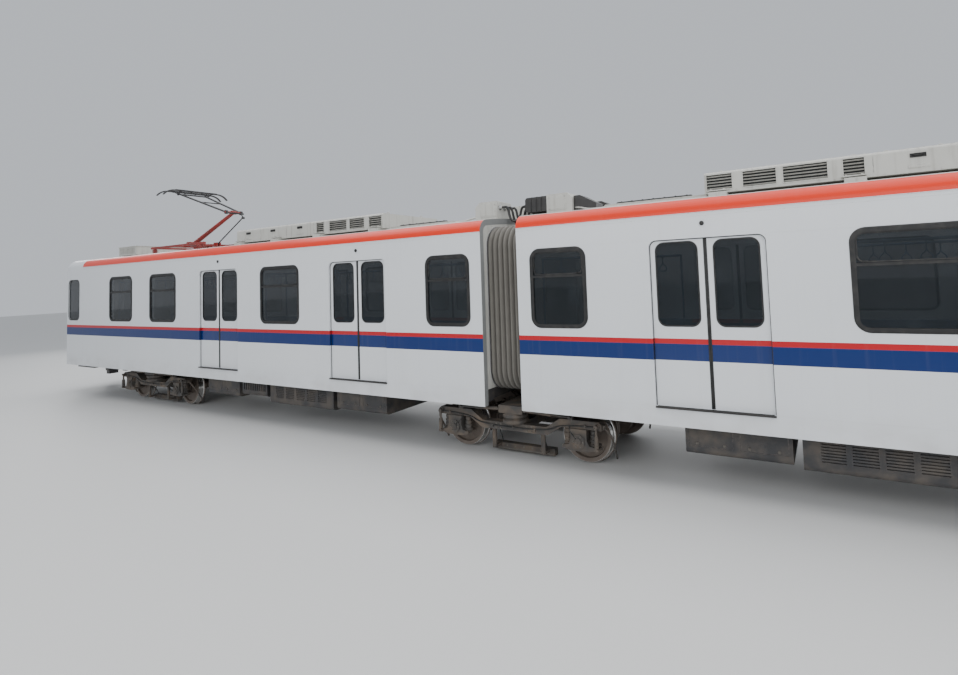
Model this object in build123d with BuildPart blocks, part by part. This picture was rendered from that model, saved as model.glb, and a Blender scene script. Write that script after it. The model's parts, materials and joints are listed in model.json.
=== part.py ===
from build123d import *
import os
from math import atan2, cos, degrees, radians, sin

# A two-section articulated metro car that stands on its wheel flanges.
# Millimetres: x runs along the car from the articulation, y across it, z up from the flanges' foot.
# Section b lies along +x and is built here; section a is its mirror image, with a pantograph on its roof.
# A place along a section is measured from the articulation, so that it suits both sections.

# Body shell
body_half_length = 14300  # articulation to the nose
body_end = 310  # articulation to the body's inner end
half_width = 1325
wall = 90  # side wall and roof, lining included
floor_z = 1030
floor_plate = 40
skirt_z = 800  # foot of the side walls
door_top_z = 3041
cantrail_z = 3340  # where the roof's curve starts
side_top_z = 3300  # where the roof panel meets the side
crown_z = 3610
cantrail_radius = 200

# Clearances
seam = 0.5  # hairline between panels that meet
seat_gap = 0.3  # between a fitted piece and its seat
run_gap = 0.5  # between surfaces that turn or slide on each other
free_gap = 5  # where a moving piece passes a fixed one
merge = 1  # how far a piece reaches into the one that it is welded to

# Underframe
frame_foot_z = 850  # underside of the side sills and of the pivot pad
sill_y = 1100  # inner face of a side sill
beam_foot_z = 870  # underside of the floor's cross beams
beam_start = 75  # body's inner end to the middle of the first beam
beam_spacing = 1225
beam_half_thickness = 60
beam_reach = 1110
pad_half_length = 350
bearing_depth = 60
nose_floor_depth = 150
nose_floor_gap = 40
headstock_span = (13400, 14340)
headstock_half_width = 900
headstock_foot_z = 640
headstock_brace = (13900, 700)  # far edge, half width
climber_grooves = (675, 715, 755)
climber_groove_size = (50, 16)  # depth, height
arm_half_width = 200
arm_reach = 400

# Side windows: near edge from the articulation, width
side_windows = ((541, 807), (4397, 1100), (8529, 1073), (10430, 1073))
window_foot_z = 1971
window_top_z = 3013
window_corner = 120
window_frame = 30
window_frame_depth = 40
window_frame_proud = 6
window_bar_z = 2650
pane_thickness = 8
pane_inset = 15

# Doorways, each closed by two leaves that slide into pockets in the wall
doorways = (2226, 6254)  # near edges from the articulation
door_width = 1350
doorway_corner = 90
leaf_thickness = 30
leaf_inset = 38  # outer face of the leaf behind the wall's
leaf_overlap = 20  # a shut leaf's edge inside its pocket
leaf_travel = 650
pocket_spare = 20
leaf_window = 511
leaf_window_edge = 89  # window to the edge where the leaves meet
leaf_window_foot_z = 1990
leaf_window_top_z = 3008
leaf_window_corner = 110
leaf_pane_inset = 5
threshold_proud = 25
threshold_height = 20

# Inner end
gangway_half_width = 650
gangway_top_z = 2950
gangway_corner = 100
end_wall = 60

# Cab
cab_start = 12950
cab_wall = 60
cab_side_end = 13850  # where the sides start to turn in
nose_half_width = 1130
nose_corner = 220
nose_edge = 60
# The nose's outline from the side, from the skirt up to the roof
nose_profile = ((body_half_length - 60, skirt_z), (body_half_length, 950), (body_half_length, 1900))
brow_profile = ((13960, 3200), (13720, 3530), (13300, crown_z + 60))
windscreen_foot_z = 1990
windscreen_top_z = 3120
windscreen_half = 960
windscreen_pillar = 70
windscreen_corner = 90
windscreen_depth = 700  # how far back the raked opening is cut
cab_window = (13150, 600)  # near edge, width
lamp_y = 720
lamp_z = 1300
lamp_radius = 95
lamp_spacing = 230
lamp_recess = 45
lamp_depth = 40

# Running gear
wheel_radius = 370
flange_height = 28
flange_thickness = 32
tyre_width = 130
flange_back = 680  # half the distance between the flanges' backs
hub_radius = 130
hub_proud = 20
rim_depth = 60  # from the tread in to the web
web_recess = (40, 30)  # behind the tyre's faces, at the rim and at the hub
web_slope = 10
flange_round = 8
flange_crest = 18  # from the flange's back to where its slope starts
tread_root = (4, 12)  # height and width of the fillet between tread and flange
tread_cone = 4
journal_shoulder = (15, 30)  # height, length
axle_radius = 80
journal_radius = 62
journal_end = 1060
brake_disc_radius = 290
brake_disc_y = 330
disc_faces = (15, 55)  # inner and outer face of each half of a disc, from its middle
disc_core = 60  # the core's edge inside the disc's
disc_hub = (120, 90)  # radius, half length
bogie_place = 10000  # articulation to an end bogie's pivot
half_wheelbase = 1050
side_frame_y = 1000
side_frame_width = 140
# Half of a side frame's swan-necked outline: distance from the bogie's middle, height
frame_outline = ((540, 530), (760, 670), (1340, 670), (1380, 630), (1380, 560), (780, 560), (560, 420))
frame_bend = 70
frame_foot = 420
frame_saddle = 530  # top of the side frame under the air spring
frame_top = 560  # underside of the side frame's raised ends
# Half of an axle box's outline, with its spring seat: distance from the axle, height
box_outline = ((120, 561), (120, 420), (150, 350), (250, 335), (250, 300), (130, 268))
box_bend = 14
box_inner_y = 880
box_cover = 40  # axle box beyond the journal's end
box_cap = (95, 15)  # radius, depth
spring_offset = 190
spring_seat = 335
spring_radii = (62, 48)  # at the foot, at the top
spring_rings = 4
spring_groove = 12
transom_half_length = 180
transom_foot = 440
bolster_foot_z = 690
bolster_top_z = 800
bolster_half_length = 200
bolster_reach = 1150
post_radius = 150
bowl_radius = 280
bearing_z = 830  # the body bears on the bogie here
pin_radius = 100
pin_top_z = 984
air_spring_radius = 190
air_spring_waist = 160
motor_radius = 215
motor_span = (-430, 300)
motor_offset = 470  # from the bogie's pivot
motor_lift = 40
motor_bracket = (-300, 200)
motor_shaft = (100, -100, 140)  # half length along the car; foot and top from the axle's height
gearbox_radius = 230
gearbox_span = (420, 560)
gearbox_arm = (-120, 160)  # foot and top, from the axle's height
track_brake = (520, 700, 800, 140)  # half length, inner and outer face, top
track_brake_gap = 12
hanger_offset = 420
hanger_half = 30
hanger_foot = 100

# Articulation
ring_height = 70
turntable_radius = 620
turntable_boss = (180, 20)  # radius, height
bellows_half_width = 1165
bellows_foot_z = 985
bellows_end_y = 700  # the skin's ends under the floor, clear of the turntable
bellows_top_z = 3440
bellows_corner = 260
fold_count = 7
fold_depth = 60
bellows_skin = 24

# Roof equipment
roof_reach_z = 3500  # feet are drawn down to here and cut to the roof's curve
unit_start = 2830
unit_end = 7200
unit_half_width = 750
unit_foot_z = 3625
unit_top_z = 3900
unit_corner = 40
unit_seams = (4680, 5520, 6360)
unit_seam_size = (6, 4)  # width, depth
duct_start = 1300
duct_half_width = 550
duct_top_z = 3655
duct_depth = 60
duct_slope = 80
duct_feet = (1500, 2530)
# Grilles in the unit's side: near edge, far edge
unit_grilles = ((2860, 3170), (3300, 3680), (3760, 4230), (4390, 4600))
grille_foot_z = 3670
grille_top_z = 3860
grille_depth = 60
slat_count = 5
slat_size = (30, 9)  # width, thickness
slat_angle = 35
slat_inset = 20
unit_feet = (3000, 4500, 5800, 7050)
foot_half_length = 110
foot_proud = 90
foot_top_z = 3655
resistor_span = (11850, 12750)
resistor_half_width = 620
resistor_top_z = 3860
resistor_lid = (15, 14)  # overhang, thickness
resistor_foot = 120  # box's end to the middle of a foot
resistor_foot_half = 50
resistor_slot = (36, 50)  # width, depth
resistor_pitch = 70
resistor_margin = 40

# Junction boxes on the roofs beside the articulation, with cables from one section to the other
junction_span = (450, 880)
junction_y = (200, 620)
junction_top_z = 3890
junction_slope = 80
junction_edge = 12
socket_start = 60  # section b's sockets reach out over the bellows to here
socket_y = (230, 600)
socket_z = (3650, 3880)
socket_edge = 45
gland_radius = 28
gland_length = 50
conduit_y = (300, 560)
# A conduit hood from section b's junction box down to the roof: place, height
conduit_profile = ((junction_span[1] - merge, 3840), (980, 3840), (1240, 3700), (1240, roof_reach_z))
cable_radius = 19
cable_ends = ((-300, 3790), (-40, 3760))  # where a jumper cable turns down, and is level again
cable_loop = ((-255, 3580), (-170, 3535), (-85, 3580))
cable_bends = (80, 80, 90, 80, 80)
# The cables on one side: place across the car, how much lower the loop hangs
cables = ((290, 0), (415, -18), (540, 12))

# Pantograph, on section a; its arms are drawn at the working height
pivot_x = -10300
pivot_z = 3830
lower_arm = 1850
lower_angle = 21
upper_arm = 1850
upper_angle = 19
arm_radii = (54, 40)  # at the pivot, at the knee
arm_hub = (54, 100)  # radius, half length
knee_tube = (45, 60)  # radius, half length
thin_arm_radius = 22
brace_radius = 14
brace_share = 0.55  # place of the brace along the upper arm
crank_length = 80
crank_radius = 20
knee_shaft_radius = 25
knee_hub = (48, 24)  # radius, half length
pivot_shaft_radius = 30
pivot_shaft_half = 175
bearing_plate = (120, 160, 45)  # inner face, outer face, half length
head_shaft_radius = 18
head_hub = (34, 12)  # radius, half length
knee_half = 180
head_half = 320
head_hub_y = 365
head_rise = 85
strip_half = 520
strip_spacing = 300
strip_width = 44
strip_depth = 30
horn_half = 790
horn_drop = 150
horn_thickness = 26
horn_bend = (130, 62)  # a point on the horn's underside: beyond the strip's end, below its top
horn_tip_drop = 6
strip_foot_inset = 10
head_post_radius = 12
base_rail_y = 500
base_rail_half = 30
base_ends = (-11300, -8900)
insulators = (-11150, -9050)
insulator_core = 38
# Rings of an insulator: radius, thickness, height of the first, spacing, count
insulator_rings = (62, 12, 3620, 25, 4)
rail_z = (3730, 3780)
cross_member_half = 40
cross_member_top = 3770
rod_member = 100  # from the rod's foot back to the cross member
rod_foot = (-9400, 3790)
rod_plate = (130, 25, 32, 8)  # reach behind, reach ahead, offset, half thickness
rod_eye_half = 20
rod_pin_radius = 10
rod_eye_radius = 22
rod_y = 100
rod_radius = 14
lug_y = 128  # the upper arm's lug beside the rod's eye
knee_lug = (200, -140)  # from the knee to the rod's eye
eye_boss = 26
cylinder_span = (-10150, -9650)  # the raising cylinder, between the base's rails
cylinder_radius = 38
cylinder_z = 3735

# Saloon: benches by near and far edge; seat outline by distance from the wall, height over the floor
bench_spans = ((430, 2120), (3690, 6140), (7720, 12300))
seat_outline = ((0, 0), (0, 820), (45, 820), (85, 455), (430, 440), (430, 400), (310, 395), (280, 0))
seat_bends = ((45, 820, 15), (85, 455, 60), (430, 440, 18))  # place, radius
seat_pitch = 460
seat_division = 8
seat_rear = 25  # shells are joined this close to the wall
pole_radius = 17
pole_top_z = 2900

# Cab fittings
bulkhead_place = 12600
bulkhead_thickness = 40
bulkhead_windows = (800, 500, 60)  # place, width, corner
desk_half_width = 1000
# The desk from the side: place, height
desk_profile = ((13640, floor_z), (13560, 1700), (13600, 1800), (13960, 1900), (13960, floor_z))
driver_seat = (13250, -450)
driver_seat_half = 230
driver_seat_heights = (380, 480, 1050)  # over the floor: underside, top, top of the back
driver_seat_edge = 40
driver_back_thickness = 80
driver_post_radius = 70

# Boxes under the floor: near edge, far edge, foot, what their sides have
underfloor_boxes = (
    (2500, 3700, 420, "doors"),
    (3800, 5600, 380, "louvres"),
    (5700, 6500, 480, "ribs"),
    (6600, 7700, 420, "doors"),
)
box_half_width = 1080
box_corner = 60
panel_margin = 40
panel_line = (6, 5)  # width, depth
louvre = (240, 14, 20)  # length, height, depth
louvre_pitch = (300, 32)
rib_groove = (30, 60)  # width, spacing

# Coupler
coupler_z = 520
coupler_face = 14780
coupler_half = 150
coupler_corner = 30
bracket_span = (13450, 13650)
bracket_half_width = 150
bracket_foot = 430
shank = (13600, 14330, 65)  # near end, far end, radius
head_start = 14460
tongue_half_width = 110
tongue_half_height = 40
tongue_length = 125
contact_box = (14520, 14690, 90)  # near edge, far edge, height
eye_radius = 25
eye_offset = 60

# Worked out from the above
inner_half_width = half_width - wall
flange_radius = wheel_radius + flange_height
axle_z = flange_radius
door_edges = [(near, near + door_width) for near in doorways]
leaf_y = -(half_width - leaf_inset)
pocket_depth = leaf_overlap + leaf_travel + pocket_spare
window_mid_z = (window_foot_z + window_top_z) / 2
window_height = window_top_z - window_foot_z
windscreen_mid_z = (windscreen_foot_z + windscreen_top_z) / 2
windscreen_height = windscreen_top_z - windscreen_foot_z
windscreen_pane = windscreen_half - windscreen_pillar / 2
cantrail_y = half_width - cantrail_radius
crown_rise = crown_z - cantrail_z
crown_radius = (cantrail_y**2 + crown_rise**2 - cantrail_radius**2) / (2 * (crown_rise - cantrail_radius))
crown_centre_z = crown_z - crown_radius
crown_angle = degrees(atan2(cantrail_y, crown_radius - crown_rise))
upright = (Align.CENTER, Align.CENTER, Align.MIN)


def block(x_span, y_span, z_span, mode=Mode.ADD):
    """A box between two limits on each axis, in the part that is being built."""
    middle = [(span[0] + span[1]) / 2 for span in (x_span, y_span, z_span)]
    sizes = [abs(span[1] - span[0]) for span in (x_span, y_span, z_span)]
    with Locations(tuple(middle)):
        return Box(*sizes, mode=mode)


def post(x, y, z_span, radius, mode=Mode.ADD):
    """An upright round bar between two heights, in the part that is being built."""
    with Locations((x, y, z_span[0])):
        return Cylinder(radius, z_span[1] - z_span[0], align=upright, mode=mode)


def rod(start, end, radius):
    """A round bar between two points, in the part that is being built."""
    line = Vector(*end) - Vector(*start)
    with Locations(Plane(origin=start, z_dir=line)):
        return Cylinder(radius, line.length, align=upright)


def cross_shaft(x, z, radius, y_span, mode=Mode.ADD):
    """A round bar across the car, in the part that is being built."""
    with Locations(Plane(origin=(x, y_span[1], z), z_dir=(0, -1, 0))):
        return Cylinder(radius, y_span[1] - y_span[0], align=upright, mode=mode)


def turned(x, y, outline):
    """A round upright piece from half its outline, radius and height, in the part that is being built."""
    with BuildSketch(Plane(origin=(x, y, 0), x_dir=(1, 0, 0), z_dir=(0, -1, 0))) as profile:
        Polygon(*outline, align=None)
    revolve(profile.sketch, axis=Axis((x, y, 0), (0, 0, 1)))


def mirrored_outline(half):
    """A whole outline from its half at positive distances, listed from the top down."""
    return [*half, *[(-distance, height) for distance, height in reversed(half)]]


def body_outline(inset, foot_z):
    """The body's outline across the car: upright sides, round cantrails, low crown."""
    side_y = half_width - inset
    corner = cantrail_radius - inset
    with BuildSketch() as outline:
        with BuildLine():
            Line((side_y, foot_z), (side_y, cantrail_z))
            CenterArc((cantrail_y, cantrail_z), corner, 0, 90 - crown_angle)
            CenterArc((0, crown_centre_z), crown_radius - inset, 90 - crown_angle, 2 * crown_angle)
            CenterArc((-cantrail_y, cantrail_z), corner, 90 + crown_angle, 90 - crown_angle)
            Line((-side_y, cantrail_z), (-side_y, foot_z))
            Line((-side_y, foot_z), (side_y, foot_z))
        make_face()
    return outline.sketch


def seated_on_roof(start, end):
    """The roof's outside as a solid bar, to cut what stands on it to its curve."""
    with BuildPart() as bar:
        with BuildSketch(Plane.YZ.offset(start)):
            add(body_outline(-seat_gap, skirt_z))
        extrude(amount=end - start)
    return bar.part


def cab_volume(inset):
    """The cab's block, taken in by a wall thickness, longer to the rear and below than the cab."""
    reach = 200
    profile = (
        (cab_start - reach, skirt_z - reach),
        (nose_profile[0][0], skirt_z - reach),
        *nose_profile[1:],
        *brow_profile,
        (cab_start - reach, brow_profile[-1][1]),
    )
    plan = (
        (cab_start - reach, -half_width),
        (cab_side_end, -half_width),
        (body_half_length, -nose_half_width),
        (body_half_length, nose_half_width),
        (cab_side_end, half_width),
        (cab_start - reach, half_width),
    )
    with BuildPart() as volume:
        with BuildSketch(Plane.XZ) as side:
            Polygon(*profile, align=None)
            if inset:
                offset(amount=-inset, kind=Kind.INTERSECTION)
            fillet(side.vertices().filter_by(lambda v: v.X > cab_start + reach), nose_edge)
        extrude(amount=half_width + reach, both=True)
        with BuildSketch(Plane.XY) as top:
            Polygon(*plan, align=None)
            if inset:
                offset(amount=-inset, kind=Kind.INTERSECTION)
            fillet(top.vertices().group_by(Axis.X)[-1], nose_corner - inset)
        extrude(amount=crown_z + reach, both=True, mode=Mode.INTERSECT)
        with BuildSketch(Plane.YZ.offset(cab_start - reach)):
            add(body_outline(inset, skirt_z - reach))
        extrude(amount=body_half_length, mode=Mode.INTERSECT)
    return volume.part


def make_underframe():
    """Floor plate on side sills and cross beams, with a pivot pad and a headstock."""
    nose_front = body_half_length - cab_wall - nose_floor_gap
    beam_top = floor_z - floor_plate
    with BuildPart() as nose:
        add(cab_volume(cab_wall + seat_gap))
        block(
            (cab_start, nose_front),
            (-half_width, half_width),
            (floor_z - nose_floor_depth, floor_z),
            mode=Mode.INTERSECT,
        )
    with BuildPart() as frame:
        block((body_end, cab_start), (-inner_half_width, inner_half_width), (beam_top, floor_z))
        add(nose.part)
        for sign in (-1, 1):
            block((body_end, cab_start), (sign * sill_y, sign * inner_half_width), (frame_foot_z, beam_top))
        for place in range(body_end + beam_start, cab_start, beam_spacing):
            block(
                (place - beam_half_thickness, place + beam_half_thickness),
                (-beam_reach, beam_reach),
                (beam_foot_z, beam_top),
            )
        block(
            (bogie_place - pad_half_length, bogie_place + pad_half_length),
            (-beam_reach, beam_reach),
            (frame_foot_z, beam_top),
        )
        post(bogie_place, 0, (bearing_z, bearing_z + bearing_depth), bowl_radius)
        block(
            headstock_span,
            (-headstock_half_width, headstock_half_width),
            (headstock_foot_z, skirt_z - free_gap),
        )
        block(
            (headstock_span[0], headstock_brace[0]),
            (-headstock_brace[1], headstock_brace[1]),
            (skirt_z - free_gap, floor_z - nose_floor_depth),
        )
        for height in climber_grooves:
            block(
                (headstock_span[1] - climber_groove_size[0], headstock_span[1]),
                (-headstock_half_width, headstock_half_width),
                (height - climber_groove_size[1] / 2, height + climber_groove_size[1] / 2),
                mode=Mode.SUBTRACT,
            )
        post(bogie_place, 0, (bearing_z, pin_top_z + merge), pin_radius + run_gap, mode=Mode.SUBTRACT)
        post(0, 0, (beam_top, floor_z), turntable_radius + free_gap, mode=Mode.SUBTRACT)
    return frame.part


def add_articulation_arm(underframe, foot_z):
    """The arm and ring that carry a section on the middle bogie's pin."""
    top_z = foot_z + ring_height
    with BuildPart() as frame:
        add(underframe)
        block((0, body_end + arm_reach), (-arm_half_width, arm_half_width), (foot_z, top_z))
        block(
            (body_end + beam_start, body_end + arm_reach),
            (-arm_half_width, arm_half_width),
            (foot_z, floor_z - floor_plate),
        )
        post(0, 0, (foot_z, top_z), bowl_radius)
        post(0, 0, (foot_z, top_z), pin_radius + run_gap, mode=Mode.SUBTRACT)
    return frame.part


def make_side_wall():
    """The side at -y: a sill with thresholds, panels with windows and door pockets, and a header."""
    outer, inner = -half_width, -inner_half_width
    edges = [body_end] + [edge for pair in door_edges for edge in pair] + [cab_start - seam]
    with BuildPart() as side:
        block((body_end, cab_start - seam), (outer, inner), (skirt_z, floor_z))
        block((body_end, cab_start - seam), (outer, inner), (door_top_z, side_top_z))
        for near, far in door_edges:
            block(
                (near, far),
                (outer - threshold_proud, outer + merge),
                (floor_z - threshold_height, floor_z),
            )
        # The header's skin comes down into each doorway's upper corners, outside the leaves
        with BuildSketch(Plane.XZ.offset(half_width)):
            for near, far in door_edges:
                with Locations(((near + far) / 2, door_top_z - doorway_corner / 2)):
                    Rectangle(door_width - 2 * seam, doorway_corner)
                with Locations(((near + far) / 2, door_top_z - door_width / 2)):
                    RectangleRounded(door_width, door_width, doorway_corner, mode=Mode.SUBTRACT)
        extrude(amount=-(leaf_inset - free_gap))
        for near, far in zip(edges[::2], edges[1::2]):
            block((near, far), (outer, inner), (floor_z + seam, door_top_z - seam))
        for near, far in door_edges:
            for pocket in ((near - pocket_depth, near), (far, far + pocket_depth)):
                block(
                    pocket,
                    (leaf_y - free_gap, leaf_y + leaf_thickness + free_gap),
                    (floor_z, door_top_z),
                    mode=Mode.SUBTRACT,
                )
        with BuildSketch(Plane.XZ.offset(half_width)):
            for near, width in side_windows:
                with Locations((near + width / 2, window_mid_z)):
                    RectangleRounded(width, window_height, window_corner)
        extrude(amount=-wall, mode=Mode.SUBTRACT)
    return side.part


def make_window_frames():
    """A frame with a hopper bar in each window of the side at -y."""
    with BuildPart() as frames:
        for near, width in side_windows:
            centre_x = near + width / 2
            frame_width = width - 2 * seat_gap
            frame_height = window_height - 2 * seat_gap
            with BuildSketch(Plane.XZ.offset(half_width + window_frame_proud)):
                with Locations((centre_x, window_mid_z)):
                    RectangleRounded(frame_width, frame_height, window_corner - seat_gap)
                    RectangleRounded(
                        frame_width - 2 * window_frame,
                        frame_height - 2 * window_frame,
                        window_corner - window_frame,
                        mode=Mode.SUBTRACT,
                    )
            extrude(amount=-window_frame_depth)
            with BuildSketch(Plane.XZ.offset(half_width + window_frame_proud)):
                with Locations((centre_x, window_bar_z)):
                    Rectangle(frame_width - window_frame, window_frame)
            extrude(amount=-pane_inset)
    return frames.part


def make_window_panes():
    """A pane in each window frame of the side at -y."""
    with BuildPart() as panes:
        with BuildSketch(Plane.XZ.offset(half_width + window_frame_proud - pane_inset - seat_gap)):
            for near, width in side_windows:
                with Locations((near + width / 2, window_mid_z)):
                    RectangleRounded(
                        width - 2 * window_frame - 4 * seat_gap,
                        window_height - 2 * window_frame - 4 * seat_gap,
                        window_corner - window_frame - seat_gap,
                    )
        extrude(amount=-pane_thickness)
    return panes.part


def make_leaves(outward):
    """The leaves at -y that open one way: towards the cab if outward, or else towards the articulation."""
    sign = 1 if outward else -1
    window_z = (leaf_window_foot_z + leaf_window_top_z) / 2
    leaf_window_height = leaf_window_top_z - leaf_window_foot_z
    with BuildPart() as leaves:
        for near, far in door_edges:
            middle = (near + far) / 2
            meeting = middle + sign * free_gap / 2
            hidden = middle + sign * (door_width / 2 + leaf_overlap)
            block(
                (meeting, hidden),
                (leaf_y, leaf_y + leaf_thickness),
                (floor_z + run_gap, door_top_z - free_gap),
            )
            window_x = meeting + sign * (leaf_window_edge + leaf_window / 2)
            with BuildSketch(Plane.XZ.offset(-leaf_y)):
                with Locations((window_x, window_z)):
                    RectangleRounded(leaf_window, leaf_window_height, leaf_window_corner)
            extrude(amount=-leaf_thickness, mode=Mode.SUBTRACT)
            with BuildSketch(Plane.XZ.offset(-leaf_y - leaf_pane_inset)):
                with Locations((window_x, window_z)):
                    RectangleRounded(
                        leaf_window - 2 * seat_gap,
                        leaf_window_height - 2 * seat_gap,
                        leaf_window_corner - seat_gap,
                    )
            extrude(amount=-pane_thickness)
    return leaves.part


def make_roof():
    """The roof's arch from the inner end to the cab."""
    with BuildPart() as roof:
        with BuildSketch(Plane.YZ.offset(body_end)):
            add(body_outline(0, side_top_z + seam))
            add(body_outline(wall, side_top_z), mode=Mode.SUBTRACT)
        extrude(amount=cab_start - seam - body_end)
    return roof.part


def make_inner_end():
    """The end wall at the articulation, with the gangway's opening down to the floor."""
    opening = gangway_top_z - floor_z
    with BuildPart() as wall_part:
        with BuildSketch(Plane.YZ.offset(body_end)):
            add(body_outline(wall + seat_gap, floor_z + seam))
            with Locations((0, floor_z + opening / 2)):
                RectangleRounded(2 * gangway_half_width, opening, gangway_corner, mode=Mode.SUBTRACT)
            with Locations((0, floor_z + gangway_corner / 2)):
                Rectangle(2 * gangway_half_width, gangway_corner + 2 * seam, mode=Mode.SUBTRACT)
        extrude(amount=end_wall)
    return wall_part.part


def make_cab_front():
    """The cab's hollow shell, with two windscreen openings, side windows and lamp recesses."""
    near, width = cab_window
    with BuildPart() as front:
        add(cab_volume(0))
        add(cab_volume(cab_wall), mode=Mode.SUBTRACT)
        block(
            (cab_start, body_half_length + merge),
            (-half_width - merge, half_width + merge),
            (skirt_z, crown_z + nose_edge),
            mode=Mode.INTERSECT,
        )
        with BuildSketch(Plane.YZ.offset(body_half_length - windscreen_depth)):
            with Locations((0, windscreen_mid_z)):
                with GridLocations(windscreen_pane + windscreen_pillar, 1, 2, 1):
                    RectangleRounded(windscreen_pane, windscreen_height, windscreen_corner)
        extrude(amount=windscreen_depth + merge, mode=Mode.SUBTRACT)
        with BuildSketch(Plane.XZ):
            with Locations((near + width / 2, window_mid_z)):
                RectangleRounded(width, window_height, window_corner)
        extrude(amount=half_width + merge, both=True, mode=Mode.SUBTRACT)
        with BuildSketch(Plane.YZ.offset(body_half_length - lamp_recess)):
            for sign in (-1, 1):
                with Locations((sign * lamp_y, lamp_z)):
                    with GridLocations(lamp_spacing, 1, 2, 1):
                        Circle(lamp_radius)
        extrude(amount=lamp_recess + merge, mode=Mode.SUBTRACT)
    return front.part


def make_windscreen():
    """The cab's glass: two windscreen panes and a pane each side."""
    near, width = cab_window
    with BuildPart() as skin:
        add(cab_volume(pane_inset))
        add(cab_volume(pane_inset + pane_thickness), mode=Mode.SUBTRACT)
    with BuildPart() as front_panes:
        add(skin.part)
        with BuildSketch(Plane.YZ.offset(body_half_length - windscreen_depth)):
            with Locations((0, windscreen_mid_z)):
                with GridLocations(windscreen_pane + windscreen_pillar, 1, 2, 1):
                    RectangleRounded(
                        windscreen_pane - 2 * seat_gap,
                        windscreen_height - 2 * seat_gap,
                        windscreen_corner - seat_gap,
                    )
        extrude(amount=windscreen_depth, mode=Mode.INTERSECT)
    with BuildPart() as side_panes:
        add(skin.part)
        with BuildSketch(Plane.XZ):
            with Locations((near + width / 2, window_mid_z)):
                RectangleRounded(width - 2 * seat_gap, window_height - 2 * seat_gap, window_corner - seat_gap)
        extrude(amount=half_width, both=True, mode=Mode.INTERSECT)
    with BuildPart() as glass:
        add(front_panes.part)
        add(side_panes.part)
    return glass.part


def make_lamps():
    """Head and tail lamps in the nose's recesses."""
    with BuildPart() as lamps:
        with BuildSketch(Plane.YZ.offset(body_half_length - lamp_recess + seat_gap)):
            for sign in (-1, 1):
                with Locations((sign * lamp_y, lamp_z)):
                    with GridLocations(lamp_spacing, 1, 2, 1):
                        Circle(lamp_radius - seat_gap)
        extrude(amount=lamp_depth)
    return lamps.part


def make_saloon():
    """Benches of moulded seats along both sides, each bench with end poles and a rail above."""
    back_y = -inner_half_width + seat_gap
    foot_z = floor_z + seat_gap
    front_y = back_y + max(distance for distance, height in seat_outline)
    shell_foot = foot_z + seat_outline[-2][1]
    with BuildPart() as benches:
        for near, far in bench_spans:
            with BuildSketch(Plane.YZ.offset(near)) as section:
                Polygon(*[(back_y + out, foot_z + up) for out, up in seat_outline], align=None)
                for out, up, radius in seat_bends:
                    fillet(section.vertices().sort_by_distance((back_y + out, foot_z + up))[0], radius)
            extrude(amount=far - near)
            seats = round((far - near) / seat_pitch)
            for seat in range(1, seats):
                gap_x = near + seat * (far - near) / seats
                block(
                    (gap_x - seat_division / 2, gap_x + seat_division / 2),
                    (back_y + seat_rear, front_y),
                    (shell_foot, foot_z + seat_outline[1][1]),
                    mode=Mode.SUBTRACT,
                )
            for end in (near + pole_radius, far - pole_radius):
                rod((end, front_y, foot_z), (end, front_y, pole_top_z), pole_radius)
            rod((near, front_y, pole_top_z), (far, front_y, pole_top_z), pole_radius)
        mirror(about=Plane.XZ)
    return benches.part


def make_cab_fittings():
    """Bulkhead, driver's desk and driver's seat."""
    seat_x, seat_y = driver_seat
    half = driver_seat_half
    cushion_foot, cushion_top, back_top = [floor_z + height for height in driver_seat_heights]
    window_place, window_width, corner = bulkhead_windows
    with BuildPart() as fittings:
        with BuildSketch(Plane.YZ.offset(bulkhead_place)):
            add(body_outline(wall + seat_gap, floor_z + seat_gap))
            with Locations((0, window_mid_z)):
                with GridLocations(2 * window_place, 1, 2, 1):
                    RectangleRounded(window_width, window_height, corner, mode=Mode.SUBTRACT)
        extrude(amount=bulkhead_thickness)
        with BuildSketch(Plane.XZ.offset(-desk_half_width)):
            Polygon(*[(x, max(z, floor_z + seat_gap)) for x, z in desk_profile], align=None)
        extrude(amount=2 * desk_half_width)
        post(seat_x, seat_y, (floor_z + seat_gap, cushion_foot + merge), driver_post_radius)
        with BuildSketch(Plane.XY.offset(cushion_foot)):
            with Locations((seat_x, seat_y)):
                RectangleRounded(2 * half, 2 * half, driver_seat_edge)
        extrude(amount=cushion_top - cushion_foot)
        with BuildSketch(Plane.YZ.offset(seat_x - half)):
            with Locations((seat_y, (cushion_foot + back_top) / 2)):
                RectangleRounded(2 * half, back_top - cushion_foot, driver_seat_edge)
        extrude(amount=driver_back_thickness)
    return fittings.part


def unit_section(inset):
    """The roof unit's section across the car, with its upper edges rounded."""
    with BuildSketch() as section:
        with Locations((0, (unit_foot_z + unit_top_z - inset) / 2)):
            Rectangle(2 * (unit_half_width - inset), unit_top_z - inset - unit_foot_z)
        fillet(section.vertices().group_by(Axis.Y)[-1], unit_corner - inset)
    return section.sketch


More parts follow.
